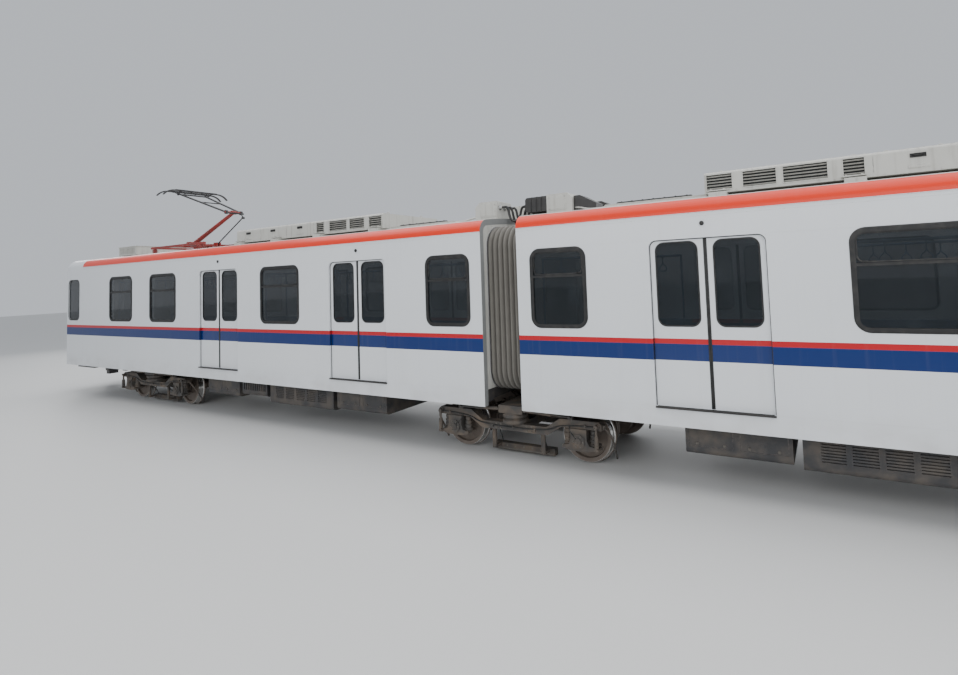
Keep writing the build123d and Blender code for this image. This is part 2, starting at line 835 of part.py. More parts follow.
def make_cooling_unit():
    """The long roof housing with grilles in both sides, a low duct and feet on the roof's curve."""
    seam_width, seam_depth = unit_seam_size
    slat_pitch = (grille_top_z - grille_foot_z) / slat_count
    foot_y = unit_half_width + foot_proud
    foot_outline = (
        (-foot_y, roof_reach_z),
        (-foot_y, unit_foot_z),
        (-unit_half_width, foot_top_z),
        (unit_half_width, foot_top_z),
        (foot_y, unit_foot_z),
        (foot_y, roof_reach_z),
    )
    with BuildPart() as unit:
        with BuildSketch(Plane.YZ.offset(unit_start)):
            add(unit_section(0))
        extrude(amount=unit_end - unit_start)
        for place in unit_seams:
            with BuildSketch(Plane.YZ.offset(place)):
                add(unit_section(0))
                add(unit_section(seam_depth), mode=Mode.SUBTRACT)
            extrude(amount=seam_width, mode=Mode.SUBTRACT)
        with BuildSketch(Plane.XZ):
            Polygon(
                (duct_start, duct_top_z - duct_depth),
                (duct_start + duct_slope, duct_top_z),
                (unit_start + merge, duct_top_z),
                (unit_start + merge, duct_top_z - duct_depth),
                align=None,
            )
        extrude(amount=duct_half_width, both=True)
        for place in unit_feet:
            with BuildSketch(Plane.YZ.offset(place - foot_half_length)):
                Polygon(*foot_outline, align=None)
            extrude(amount=2 * foot_half_length)
        for place in duct_feet:
            block(
                (place - resistor_foot_half, place + resistor_foot_half),
                (-duct_half_width, duct_half_width),
                (roof_reach_z, duct_top_z - duct_depth + merge),
            )
        add(seated_on_roof(body_end, cab_start), mode=Mode.SUBTRACT)
        for near, far in unit_grilles:
            for sign in (-1, 1):
                face = sign * unit_half_width
                block(
                    (near, far),
                    (face, face - sign * grille_depth),
                    (grille_foot_z, grille_top_z),
                    mode=Mode.SUBTRACT,
                )
                for step in range(slat_count):
                    slat_z = grille_foot_z + (step + 0.5) * slat_pitch
                    slat_place = ((near + far) / 2, face - sign * slat_inset, slat_z)
                    with Locations(Location(slat_place, (sign * slat_angle, 0, 0))):
                        Box(far - near, *slat_size)
    return unit.part


def make_resistor_box():
    """The brake resistors' ventilated roof box, with a lid on top and two feet."""
    start, end = resistor_span
    slot_width, slot_depth = resistor_slot
    overhang, lid = resistor_lid
    count = round((end - start - 2 * resistor_foot_half) / resistor_pitch)
    slot_foot, slot_top = unit_foot_z + resistor_margin, resistor_top_z - lid - resistor_margin
    with BuildPart() as slots:
        slot_y = -resistor_half_width + slot_depth / 2
        with Locations(((start + end) / 2, slot_y, (slot_foot + slot_top) / 2)):
            with GridLocations(resistor_pitch, 1, count, 1):
                Box(slot_width, slot_depth, slot_top - slot_foot)
        mirror(about=Plane.XZ)
    with BuildPart() as box:
        block((start, end), (-resistor_half_width, resistor_half_width), (unit_foot_z, resistor_top_z - lid))
        block(
            (start - overhang, end + overhang),
            (-resistor_half_width - overhang, resistor_half_width + overhang),
            (resistor_top_z - lid, resistor_top_z),
        )
        for place in (start + resistor_foot, end - resistor_foot):
            block(
                (place - resistor_foot_half, place + resistor_foot_half),
                (-resistor_half_width, resistor_half_width),
                (roof_reach_z, unit_foot_z + merge),
            )
        add(seated_on_roof(body_end, cab_start), mode=Mode.SUBTRACT)
        add(slots.part, mode=Mode.SUBTRACT)
    return box.part


def make_junction_boxes(with_sockets):
    """The cable boxes beside the articulation; section b's also have sockets and conduit hoods."""
    start, end = junction_span
    box_profile = (
        (start, roof_reach_z),
        (start, junction_top_z),
        (end - junction_slope, junction_top_z),
        (end, junction_top_z - junction_slope),
        (end, roof_reach_z),
    )
    with BuildPart() as boxes:
        with BuildSketch(Plane.XZ.offset(junction_y[0])) as outline:
            Polygon(*box_profile, align=None)
            fillet(outline.vertices().filter_by(lambda v: v.Y > roof_reach_z), junction_edge)
        extrude(amount=junction_y[1] - junction_y[0])
        if with_sockets:
            with BuildSketch(Plane.XZ.offset(socket_y[0])) as socket:
                Polygon(
                    (socket_start, socket_z[0]),
                    (socket_start, socket_z[1]),
                    (start + merge, socket_z[1]),
                    (start + merge, socket_z[0]),
                    align=None,
                )
                fillet(socket.vertices().group_by(Axis.X)[0], socket_edge)
            extrude(amount=socket_y[1] - socket_y[0])
            with BuildSketch(Plane.XZ.offset(conduit_y[0])):
                Polygon(*conduit_profile, (conduit_profile[0][0], roof_reach_z), align=None)
            extrude(amount=conduit_y[1] - conduit_y[0])
        else:
            for across, _ in cables:
                gland_z = cable_ends[0][1]
                rod((start - gland_length, -across, gland_z), (start + merge, -across, gland_z), gland_radius)
        mirror(about=Plane.XZ)
        add(seated_on_roof(body_end, cab_start), mode=Mode.SUBTRACT)
    return boxes.part


def make_jumper_cables():
    """The cables that loop from section a's glands over the bellows to section b's sockets."""
    turn_down, level_again = cable_ends
    leave = (-(junction_span[0] - gland_length - seat_gap), turn_down[1])
    enter = (socket_start - seat_gap, level_again[1])
    with BuildPart() as jumpers:
        for across, drop in cables:
            loop = [(x, z + drop) for x, z in cable_loop]
            points = [(x, -across, z) for x, z in (leave, turn_down, *loop, level_again, enter)]
            with BuildLine() as route:
                FilletPolyline(*points, radius=cable_bends)
            with BuildSketch(Plane(origin=route.line @ 0, z_dir=route.line % 0)):
                Circle(cable_radius)
            sweep(path=route.line)
        mirror(about=Plane.XZ)
    return jumpers.part


def make_equipment_boxes():
    """Boxes slung under the floor between the bogies, with doors, louvres or ribs in their sides."""
    top_z = beam_foot_z - seat_gap
    line_width, line_depth = panel_line
    louvre_length, louvre_height, louvre_depth = louvre
    with BuildPart() as lines:
        with BuildSketch(Plane.XZ.offset(box_half_width)):
            for near, far, foot_z, front in underfloor_boxes:
                panel_height = top_z - foot_z - box_corner - 2 * panel_margin
                panel_width = (far - near) / 2 - 2 * panel_margin
                if front != "doors":
                    continue
                with Locations(((near + far) / 2, foot_z + box_corner + panel_margin + panel_height / 2)):
                    with GridLocations((far - near) / 2, 1, 2, 1):
                        Rectangle(panel_width, panel_height)
                        Rectangle(
                            panel_width - 2 * line_width,
                            panel_height - 2 * line_width,
                            mode=Mode.SUBTRACT,
                        )
        extrude(amount=-line_depth)
        mirror(about=Plane.XZ)
    with BuildPart() as slots:
        with BuildSketch(Plane.XZ.offset(box_half_width)):
            for near, far, foot_z, front in underfloor_boxes:
                panel_height = top_z - foot_z - box_corner - 2 * panel_margin
                centre = ((near + far) / 2, foot_z + box_corner + panel_margin + panel_height / 2)
                with Locations(centre):
                    if front == "louvres":
                        columns = int((far - near - panel_margin) / louvre_pitch[0])
                        rows = int(panel_height / louvre_pitch[1])
                        with GridLocations(*louvre_pitch, columns, rows):
                            Rectangle(louvre_length, louvre_height)
                    elif front == "ribs":
                        grooves = int((far - near - panel_margin) / rib_groove[1])
                        with GridLocations(rib_groove[1], 1, grooves, 1):
                            Rectangle(rib_groove[0], panel_height)
        extrude(amount=-louvre_depth)
        mirror(about=Plane.XZ)
    with BuildPart() as boxes:
        for near, far, foot_z, front in underfloor_boxes:
            with BuildSketch(Plane.YZ.offset(near)) as section:
                with Locations((0, (foot_z + top_z) / 2)):
                    Rectangle(2 * box_half_width, top_z - foot_z)
                fillet(section.vertices().group_by(Axis.Y)[0], box_corner)
            extrude(amount=far - near)
        add(lines.part, mode=Mode.SUBTRACT)
        add(slots.part, mode=Mode.SUBTRACT)
    return boxes.part


def make_coupler():
    """The drawbar with its bracket and head, and an eye for a towing pin."""
    shank_start, shank_end, shank_radius = shank
    contact_start, contact_end, contact_height = contact_box
    head_end = coupler_face - tongue_length
    with BuildPart() as coupler:
        block(
            bracket_span,
            (-bracket_half_width, bracket_half_width),
            (bracket_foot, headstock_foot_z - run_gap),
        )
        rod((shank_start, 0, coupler_z), (shank_end + merge, 0, coupler_z), shank_radius)
        with BuildSketch(Plane.YZ.offset(shank_end)):
            with Locations((0, coupler_z)):
                Circle(shank_radius)
        with BuildSketch(Plane.YZ.offset(head_start)):
            with Locations((0, coupler_z)):
                RectangleRounded(2 * coupler_half, 2 * coupler_half, coupler_corner)
        loft()
        with BuildSketch(Plane.YZ.offset(head_start)):
            with Locations((0, coupler_z)):
                RectangleRounded(2 * coupler_half, 2 * coupler_half, coupler_corner)
        extrude(amount=head_end - head_start)
        block(
            (head_end - merge, coupler_face),
            (-tongue_half_width, tongue_half_width),
            (coupler_z - tongue_half_height, coupler_z + tongue_half_height),
        )
        block(
            (contact_start, contact_end),
            (-tongue_half_width, tongue_half_width),
            (coupler_z - coupler_half - contact_height, coupler_z - coupler_half + merge),
        )
        with Locations((coupler_face - eye_offset, 0, coupler_z)):
            Cylinder(eye_radius, 2 * tongue_half_height, mode=Mode.SUBTRACT)
    return coupler.part


def cone_spring(x, y, foot_z, top_z):
    """A conical rubber spring of stacked rings, in the part that is being built."""
    pitch = (top_z - foot_z) / spring_rings
    outline = [(0, foot_z)]
    for ring in range(spring_rings):
        radius = spring_radii[0] + (spring_radii[1] - spring_radii[0]) * ring / (spring_rings - 1)
        low = foot_z + ring * pitch
        outline += [
            (radius, low),
            (radius, low + pitch / 2),
            (radius - spring_groove, low + 2 * pitch / 3),
            (radius - spring_groove, low + pitch),
        ]
    turned(x, y, [*outline, (0, top_z)])


def air_spring(x, y, foot_z, top_z):
    """A two-bellied air spring, in the part that is being built."""
    height = top_z - foot_z
    belly = [(air_spring_waist, 0), (air_spring_radius, 0.15), (air_spring_radius, 0.35)]
    outline = belly + [(air_spring_waist, 0.5)] + [(r, 1 - share) for r, share in reversed(belly)]
    turned(x, y, [(0, foot_z), *[(r, foot_z + share * height) for r, share in outline], (0, top_z)])


def make_bogie(place, motored):
    """Frame, axle boxes, springs, bolster and pin, with track brakes and, if motored, two motors."""
    frame_y = side_frame_y + side_frame_width / 2
    frame_inner_y = side_frame_y - side_frame_width / 2
    box_y = journal_end + box_cover
    brake_half, brake_inner, brake_outer, brake_top = track_brake
    axles = [place - half_wheelbase, place + half_wheelbase]
    with BuildPart() as bogie:
        # The side at -y, then its mirror image
        with BuildSketch(Plane.XZ.offset(frame_y)) as frame_side:
            Polygon(*[(place + x, z) for x, z in mirrored_outline(frame_outline)], align=None)
            bends = [v for v in frame_side.vertices() if abs(v.X - place) < half_wheelbase]
            fillet(bends, frame_bend)
        extrude(amount=-side_frame_width)
        for axle_x in axles:
            with BuildSketch(Plane.XZ.offset(box_y)) as box_side:
                Polygon(*[(axle_x + x, z) for x, z in mirrored_outline(box_outline)], align=None)
                fillet(box_side.vertices().filter_by(lambda v: v.Y < frame_top), box_bend)
            extrude(amount=-(box_y - box_inner_y))
            cross_shaft(axle_x, axle_z, box_cap[0], (-box_y - box_cap[1], -box_y + merge))
            for spring_x in (axle_x - spring_offset, axle_x + spring_offset):
                cone_spring(spring_x, -side_frame_y, spring_seat - merge, frame_top + merge)
        air_spring(place, -side_frame_y, frame_saddle - merge, bolster_foot_z + merge)
        block(
            (place - brake_half, place + brake_half),
            (-brake_outer, -brake_inner),
            (flange_height + track_brake_gap, brake_top),
        )
        hanger_y = -frame_inner_y - hanger_half
        for hanger in (place - hanger_offset, place + hanger_offset):
            hanger_span = (hanger - hanger_half, hanger + hanger_half)
            block(hanger_span, (hanger_y, merge - brake_outer), (hanger_foot, brake_top))
            block(hanger_span, (hanger_y, -frame_inner_y), (hanger_foot, frame_foot + merge))
        mirror(about=Plane.XZ)
        block(
            (place - transom_half_length, place + transom_half_length),
            (-side_frame_y, side_frame_y),
            (transom_foot, frame_top),
        )
        block(
            (place - bolster_half_length, place + bolster_half_length),
            (-bolster_reach, bolster_reach),
            (bolster_foot_z, bolster_top_z),
        )
        post(place, 0, (frame_top - merge, bolster_foot_z + merge), post_radius)
        post(place, 0, (bolster_top_z - merge, bearing_z - run_gap), bowl_radius)
        post(place, 0, (bolster_top_z - merge, pin_top_z), pin_radius)
        if motored:
            for end, axle_x in zip((-1, 1), axles):
                motor_x = place + end * motor_offset
                cross_shaft(motor_x, axle_z + motor_lift, motor_radius, motor_span)
                block((place, motor_x), motor_bracket, (transom_foot, frame_top))
                cross_shaft(axle_x, axle_z, gearbox_radius, gearbox_span)
                block((motor_x, axle_x), gearbox_span, [axle_z + height for height in gearbox_arm])
                block(
                    (motor_x - motor_shaft[0], motor_x + motor_shaft[0]),
                    (motor_span[1] - merge, gearbox_span[0] + merge),
                    [axle_z + height for height in motor_shaft[1:]],
                )
        bores = (
            (axle_radius + free_gap, flange_back),
            (journal_radius + run_gap, journal_end + free_gap),
        )
        for axle_x in axles:
            for radius, reach in bores:
                cross_shaft(axle_x, axle_z, radius, (-reach, reach), mode=Mode.SUBTRACT)
    return bogie.part


def make_wheelset(axle_x, braked):
    """Two wheels on an axle as one turning body; a braked one carries two discs."""
    tread_y = flange_back + flange_thickness
    rim_y = flange_back + tyre_width
    hub_y = flange_back - hub_proud
    at_rim, at_hub = web_recess
    shoulder_height, shoulder_length = journal_shoulder
    rim_inside = wheel_radius - rim_depth
    wheel_profile = (
        (0, hub_y),
        (hub_radius, hub_y),
        (hub_radius + web_slope, flange_back + at_hub),
        (rim_inside - web_slope, flange_back + at_rim),
        (rim_inside, flange_back),
        (flange_radius - flange_round, flange_back),
        (flange_radius, flange_back + flange_round),
        (flange_radius - tread_cone / 2, flange_back + flange_crest),
        (wheel_radius + tread_root[0], tread_y),
        (wheel_radius, tread_y + tread_root[1]),
        (wheel_radius - tread_cone, rim_y),
        (rim_inside, rim_y),
        (rim_inside - web_slope, rim_y - at_rim),
        (hub_radius + web_slope, rim_y - at_hub),
        (hub_radius, rim_y + hub_proud),
        (journal_radius + shoulder_height, rim_y + hub_proud),
        (journal_radius, rim_y + hub_proud + shoulder_length),
        (journal_radius, journal_end),
        (0, journal_end),
    )
    face_in, face_out = disc_faces
    with BuildPart() as wheelset:
        with BuildSketch(Plane.XY):
            Polygon(*wheel_profile, align=None)
        revolve(axis=Axis.Y)
        mirror(about=Plane.XZ)
        middle = hub_y - seam
        cross_shaft(0, 0, axle_radius, (-middle, middle))
        if braked:
            for disc_y in (-brake_disc_y, brake_disc_y):
                cross_shaft(0, 0, brake_disc_radius, (disc_y - face_out, disc_y - face_in))
                cross_shaft(0, 0, brake_disc_radius, (disc_y + face_in, disc_y + face_out))
                cross_shaft(0, 0, brake_disc_radius - disc_core, (disc_y - face_out, disc_y + face_out))
                cross_shaft(0, 0, disc_hub[0], (disc_y - disc_hub[1], disc_y + disc_hub[1]))
    with BuildPart() as placed:
        with Locations((axle_x, 0, axle_z)):
            add(wheelset.part)
    return placed.part


def make_turntable():
    """The round floor plate over the middle bogie's pin."""
    boss_radius, boss_height = turntable_boss
    with BuildPart() as turntable:
        post(0, 0, (floor_z - floor_plate + free_gap, floor_z), turntable_radius)
        post(0, 0, (pin_top_z + seat_gap, pin_top_z + seat_gap + boss_height), boss_radius)
    return turntable.part


def make_bellows():
    """The folded skin round the gangway: one folded strip carried up one side, over and down the other."""
    reach = body_end - seat_gap
    pitch = 2 * reach / fold_count
    ridge, valley = [], []
    for fold in range(fold_count):
        start = -reach + fold * pitch
        ridge += [(start, 0), (start + pitch / 2, fold_depth)]
        valley += [(start, -bellows_skin), (start + pitch / 2, fold_depth - bellows_skin)]
    ridge.append((reach, 0))
    valley.append((reach, -bellows_skin))
    crest_y = bellows_half_width - fold_depth
    crest_top = bellows_top_z - fold_depth
    crest_foot = bellows_foot_z + fold_depth
    with BuildPart() as bellows:
        with BuildLine(Plane.YZ) as route:
            FilletPolyline(
                (bellows_end_y, crest_foot),
                (crest_y, crest_foot),
                (crest_y, crest_top),
                (-crest_y, crest_top),
                (-crest_y, crest_foot),
                (-bellows_end_y, crest_foot),
                radius=bellows_corner,
            )
        with BuildSketch(Plane(origin=(0, bellows_end_y, crest_foot), x_dir=(1, 0, 0), z_dir=(0, 1, 0))):
            Polygon(*ridge, *reversed(valley), align=None)
        sweep(path=route.line)
    return bellows.part


def arm_point(start, length, angle):
    """The end of an arm of a length that rises by an angle towards +x."""
    return (start[0] + length * cos(radians(angle)), start[1] + length * sin(radians(angle)))


pivot = (pivot_x, pivot_z)
knee = arm_point(pivot, lower_arm, lower_angle)
head = arm_point(knee, -upper_arm, -upper_angle)
rod_eye = (knee[0] + knee_lug[0], knee[1] + knee_lug[1])


def make_pantograph_base():
    """Insulators, rails, cross members, bearings and the raising cylinder on section a's roof."""
    roof_bar = mirror(seated_on_roof(body_end, cab_start), about=Plane.YZ)
    ring_radius, ring_thickness, ring_z, ring_pitch, ring_count = insulator_rings
    plate_inner, plate_outer, plate_half = bearing_plate
    behind, ahead, plate_offset, half_thickness = rod_plate
    with BuildPart() as base:
        for rail_y in (-base_rail_y, base_rail_y):
            block(base_ends, (rail_y - base_rail_half, rail_y + base_rail_half), rail_z)
            for place in insulators:
                post(place, rail_y, (roof_reach_z, rail_z[0] + merge), insulator_core)
                for ring in range(ring_count):
                    low = ring_z + ring * ring_pitch
                    post(place, rail_y, (low, low + ring_thickness), ring_radius)
        for sign in (-1, 1):
            block(
                (pivot_x - plate_half, pivot_x + plate_half),
                (sign * plate_inner, sign * plate_outer),
                (rail_z[0], pivot_z + plate_half),
            )
        for place in (insulators[0], pivot_x, rod_foot[0] - rod_member):
            block(
                (place - cross_member_half, place + cross_member_half),
                (-base_rail_y, base_rail_y),
                (rail_z[0], cross_member_top),
            )
        rod((pivot_x, 0, cylinder_z), (rod_foot[0] - rod_member, 0, cylinder_z), cylinder_radius / 2)
        rod((cylinder_span[0], 0, cylinder_z), (cylinder_span[1], 0, cylinder_z), cylinder_radius)
        for plate_y in (rod_y - plate_offset, rod_y + plate_offset):
            block(
                (rod_foot[0] - behind, rod_foot[0] + ahead),
                (plate_y - half_thickness, plate_y + half_thickness),
                (rail_z[0], rod_foot[1] + ahead),
            )
        cross_shaft(
            rod_foot[0],
            rod_foot[1],
            rod_pin_radius,
            (rod_y - plate_offset - half_thickness, rod_y + plate_offset + half_thickness),
        )
        cross_shaft(
            pivot_x, pivot_z, pivot_shaft_radius + run_gap, (-plate_outer, plate_outer), mode=Mode.SUBTRACT
        )
        add(roof_bar, mode=Mode.SUBTRACT)
    return base.part


def make_pantograph_lower_arm():
    """The stout tapered lower arm with its pivot shaft and the knee's shaft."""
    hub_radius_here, hub_half = arm_hub
    shaft_half = knee_half + knee_hub[1] + merge
    with BuildPart() as arm:
        cross_shaft(pivot[0], pivot[1], pivot_shaft_radius, (-pivot_shaft_half, pivot_shaft_half))
        cross_shaft(pivot[0], pivot[1], hub_radius_here, (-hub_half, hub_half))
        line = Vector(knee[0] - pivot[0], 0, knee[1] - pivot[1])
        with Locations(Plane(origin=(pivot[0], 0, pivot[1]), z_dir=line)):
            Cone(*arm_radii, lower_arm, align=upright)
        cross_shaft(knee[0], knee[1], knee_tube[0], (-knee_tube[1], knee_tube[1]))
        cross_shaft(knee[0], knee[1], knee_shaft_radius, (-shaft_half, shaft_half))
    return arm.part


def make_pantograph_upper_arm():
    """Two thin tubes from the knee to the head's shaft, braced, with a lug for the rod."""
    outer = arm_point(knee, crank_length, -upper_angle)
    brace = arm_point(knee, -upper_arm * brace_share, -upper_angle)
    brace_y = knee_half + brace_share * (head_half - knee_half)
    hub_radius_here, hub_half = knee_hub
    shaft_half = head_hub_y + head_hub[1] + free_gap
    with BuildPart() as arm:
        for sign in (-1, 1):
            side_y = sign * knee_half
            cross_shaft(knee[0], knee[1], hub_radius_here, (side_y - hub_half, side_y + hub_half))
            rod((knee[0], side_y, knee[1]), (head[0], sign * head_half, head[1]), thin_arm_radius)
            rod((knee[0], side_y, knee[1]), (outer[0], side_y, outer[1]), crank_radius)
        cross_shaft(outer[0], outer[1], head_shaft_radius, (-knee_half - hub_half, knee_half + hub_half))
        cross_shaft(head[0], head[1], head_shaft_radius, (-shaft_half, shaft_half))
        cross_shaft(brace[0], brace[1], brace_radius, (-brace_y, brace_y))
        rod((outer[0], lug_y, outer[1]), (rod_eye[0], lug_y, rod_eye[1]), rod_radius)
        cross_shaft(rod_eye[0], rod_eye[1], eye_boss, (rod_y + rod_radius + seat_gap, lug_y + rod_radius))
        cross_shaft(
            knee[0],
            knee[1],
            knee_shaft_radius + run_gap,
            (-knee_half - hub_half, knee_half + hub_half),
            mode=Mode.SUBTRACT,
        )
    return arm.part


def make_pantograph_rod():
    """The thin rod that steers the upper arm; its upper eye lies beside the arm's lug, with no pin."""
    foot_span = (rod_y - rod_eye_half, rod_y + rod_eye_half)
    with BuildPart() as thin_rod:
        rod((rod_foot[0], rod_y, rod_foot[1]), (rod_eye[0], rod_y, rod_eye[1]), rod_radius)
        cross_shaft(rod_eye[0], rod_eye[1], eye_boss, (rod_y - rod_radius, rod_y + rod_radius))
        cross_shaft(rod_foot[0], rod_foot[1], rod_eye_radius, foot_span)
        cross_shaft(rod_foot[0], rod_foot[1], rod_pin_radius + run_gap, foot_span, mode=Mode.SUBTRACT)
    return thin_rod.part


def make_pantograph_head():
    """Two contact strips with down-curved horns on a small frame."""
    strip_z = head[1] + head_rise
    foot_z = strip_z - strip_depth
    tip_z = strip_z - horn_drop
    foot_half = strip_half - strip_foot_inset
    bend = (strip_half + horn_bend[0], strip_z - horn_bend[1])
    tip_in = (horn_half - horn_thickness, tip_z - horn_tip_drop)
    hub_radius_here, hub_half = head_hub
    with BuildPart() as collector:
        for side in (-1, 1):
            strip_x = head[0] + side * strip_spacing / 2
            with BuildSketch(Plane.YZ.offset(strip_x - strip_width / 2)):
                with BuildLine():
                    top = Line((-strip_half, strip_z), (strip_half, strip_z))
                    right = TangentArc(top @ 1, (horn_half, tip_z), tangent=(1, 0))
                    tip = Line(right @ 1, tip_in)
                    under = ThreePointArc(tip @ 1, bend, (foot_half, foot_z))
                    foot = Line(under @ 1, (-foot_half, foot_z))
                    back = ThreePointArc(foot @ 1, (-bend[0], bend[1]), (-tip_in[0], tip_in[1]))
                    end = Line(back @ 1, (-horn_half, tip_z))
                    TangentArc(top @ 0, end @ 1, tangent=(-1, 0))
                make_face()
            extrude(amount=strip_width)
            for hub_y in (-head_hub_y, head_hub_y):
                rod((head[0], hub_y, head[1]), (strip_x, hub_y, foot_z + merge), head_post_radius)
        for hub_y in (-head_hub_y, head_hub_y):
            hub_span = (hub_y - hub_half, hub_y + hub_half)
            cross_shaft(head[0], head[1], hub_radius_here, hub_span)
            cross_shaft(head[0], head[1], head_shaft_radius + run_gap, hub_span, mode=Mode.SUBTRACT)
    return collector.part


def save(name, part):
    """Writes one piece to its own file."""
    part.label = name
    export_step(part, f"parts/{name}.step")


def main():
    os.makedirs("parts", exist_ok=True)
    side_wall = make_side_wall()
    inner_leaves, outer_leaves = make_leaves(False), make_leaves(True)
    pieces = {
        "side_near": side_wall,
        "side_far": mirror(side_wall, about=Plane.XZ),
        "leaves_near_inner": inner_leaves,
        "leaves_near_outer": outer_leaves,
        "leaves_far_inner": mirror(inner_leaves, about=Plane.XZ),
        "leaves_far_outer": mirror(outer_leaves, about=Plane.XZ),
        "roof": make_roof(),
        "inner_end": make_inner_end(),
        "cab_front": make_cab_front(),
        "windscreen": make_windscreen(),
        "lamps": make_lamps(),
        "saloon": make_saloon(),
        "cab_fittings": make_cab_fittings(),
        "cooling_unit": make_cooling_unit(),
        "resistor_box": make_resistor_box(),
        "equipment_boxes": make_equipment_boxes(),
        "coupler": make_coupler(),
    }
    for name, near_side in (("window_frames", make_window_frames()), ("window_panes", make_window_panes())):
        with BuildPart() as pair:
            add(near_side)
            add(mirror(near_side, about=Plane.XZ))
        pieces[name] = pair.part
    for name, piece in pieces.items():
        save(f"{name}_b", piece)
        save(f"{name}_a", mirror(piece, about=Plane.YZ))
    save("junction_boxes_b", make_junction_boxes(with_sockets=True))
    save("junction_boxes_a", mirror(make_junction_boxes(with_sockets=False), about=Plane.YZ))
    save("jumper_cables", make_jumper_cables())
    # Section a's ring lies on the middle bogie, and section b's lies on section a's
    underframe = make_underframe()
    save("underframe_a", mirror(add_articulation_arm(underframe, bearing_z), about=Plane.YZ))
    save("underframe_b", add_articulation_arm(underframe, bearing_z + ring_height + run_gap))
    # Bogies and wheelsets: name, place along the car, motored
    wheelset_number = 0
    for name, place, motored in (("a", -bogie_place, True), ("middle", 0, False), ("b", bogie_place, True)):
        save(f"bogie_{name}", make_bogie(place, motored))
        for axle_x in (place - half_wheelbase, place + half_wheelbase):
            wheelset_number += 1
            save(f"wheelset_{wheelset_number}", make_wheelset(axle_x, not motored))
    save("turntable", make_turntable())
    save("bellows", make_bellows())
    save("pantograph_base", make_pantograph_base())
    save("pantograph_lower_arm", make_pantograph_lower_arm())
    save("pantograph_upper_arm", make_pantograph_upper_arm())
    save("pantograph_rod", make_pantograph_rod())
    save("pantograph_head", make_pantograph_head())


main()
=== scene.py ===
import bmesh
import bpy
import json
from math import cos, pi, radians, sin
from mathutils import Matrix, Vector


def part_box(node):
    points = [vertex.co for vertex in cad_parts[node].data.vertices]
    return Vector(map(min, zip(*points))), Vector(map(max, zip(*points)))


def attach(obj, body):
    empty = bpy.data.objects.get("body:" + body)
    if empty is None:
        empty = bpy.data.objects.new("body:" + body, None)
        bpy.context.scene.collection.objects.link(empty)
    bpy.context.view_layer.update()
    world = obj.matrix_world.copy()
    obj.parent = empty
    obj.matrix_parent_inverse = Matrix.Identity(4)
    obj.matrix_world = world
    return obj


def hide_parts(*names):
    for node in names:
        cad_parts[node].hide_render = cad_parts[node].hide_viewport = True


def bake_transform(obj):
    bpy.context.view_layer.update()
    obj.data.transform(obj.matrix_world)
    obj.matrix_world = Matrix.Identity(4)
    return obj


# An articulated metro car: finishes for every solid, and the rubber, trim, cables and fittings around them.
# Metres. x runs along the car from the articulation, y across it, z up. Pieces are made on section b
# at the near side (-y), then mirrored to the far side and to section a.

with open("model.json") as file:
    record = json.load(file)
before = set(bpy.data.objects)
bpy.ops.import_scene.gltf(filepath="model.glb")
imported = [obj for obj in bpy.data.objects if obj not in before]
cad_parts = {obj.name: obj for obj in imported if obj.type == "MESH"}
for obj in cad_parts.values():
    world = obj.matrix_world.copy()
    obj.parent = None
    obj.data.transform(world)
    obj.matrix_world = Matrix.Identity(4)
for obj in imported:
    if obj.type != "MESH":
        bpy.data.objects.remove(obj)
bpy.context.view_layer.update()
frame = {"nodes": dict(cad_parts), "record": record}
nodes = frame["nodes"]
print("frame loaded:", len(nodes), "solids")

mirrorX = Matrix.Diagonal((-1, 1, 1, 1))
mirrorY = Matrix.Diagonal((1, -1, 1, 1))
sectionMoves = {"a": mirrorX, "b": Matrix.Identity(4)}

car = {  # places that several pieces share
    "wallY": 1.325,
    "leafY": 1.287,
    "floorZ": 1.030,
    "doorTopZ": 3.041,
    "doorWidth": 1.350,
    "doorways": (2.226, 6.254),
    "windows": ((0.541, 0.807), (4.397, 1.100), (8.529, 1.073), (10.430, 1.073)),
    "windowFootZ": 1.971,
    "windowTopZ": 3.013,
    "cabStart": 12.950,
    "bogiePlace": 10.0,
    "halfWheelbase": 1.050,
    "axleZ": 0.398,
}


# Shader maths

class Wire:
    def __init__(self, finish, socket):
        self.finish, self.socket = finish, socket

    def maths(self, operation, first, second):
        return self.finish.node("Math", {"operation": operation}, {0: first, 1: second})

    def __add__(self, other):
        return self.maths("ADD", self, other)

    def __sub__(self, other):
        return self.maths("SUBTRACT", self, other)

    def __rsub__(self, other):
        return self.maths("SUBTRACT", other, self)

    def __mul__(self, other):
        return self.maths("MULTIPLY", self, other)

    def __gt__(self, other):
        return self.maths("GREATER_THAN", self, other)

    def __lt__(self, other):
        return self.maths("LESS_THAN", self, other)

    def __pow__(self, other):
        return self.maths("POWER", self, other)

    def size(self):
        return self.maths("ABSOLUTE", self, 0.0)

    __radd__ = __add__
    __rmul__ = __mul__


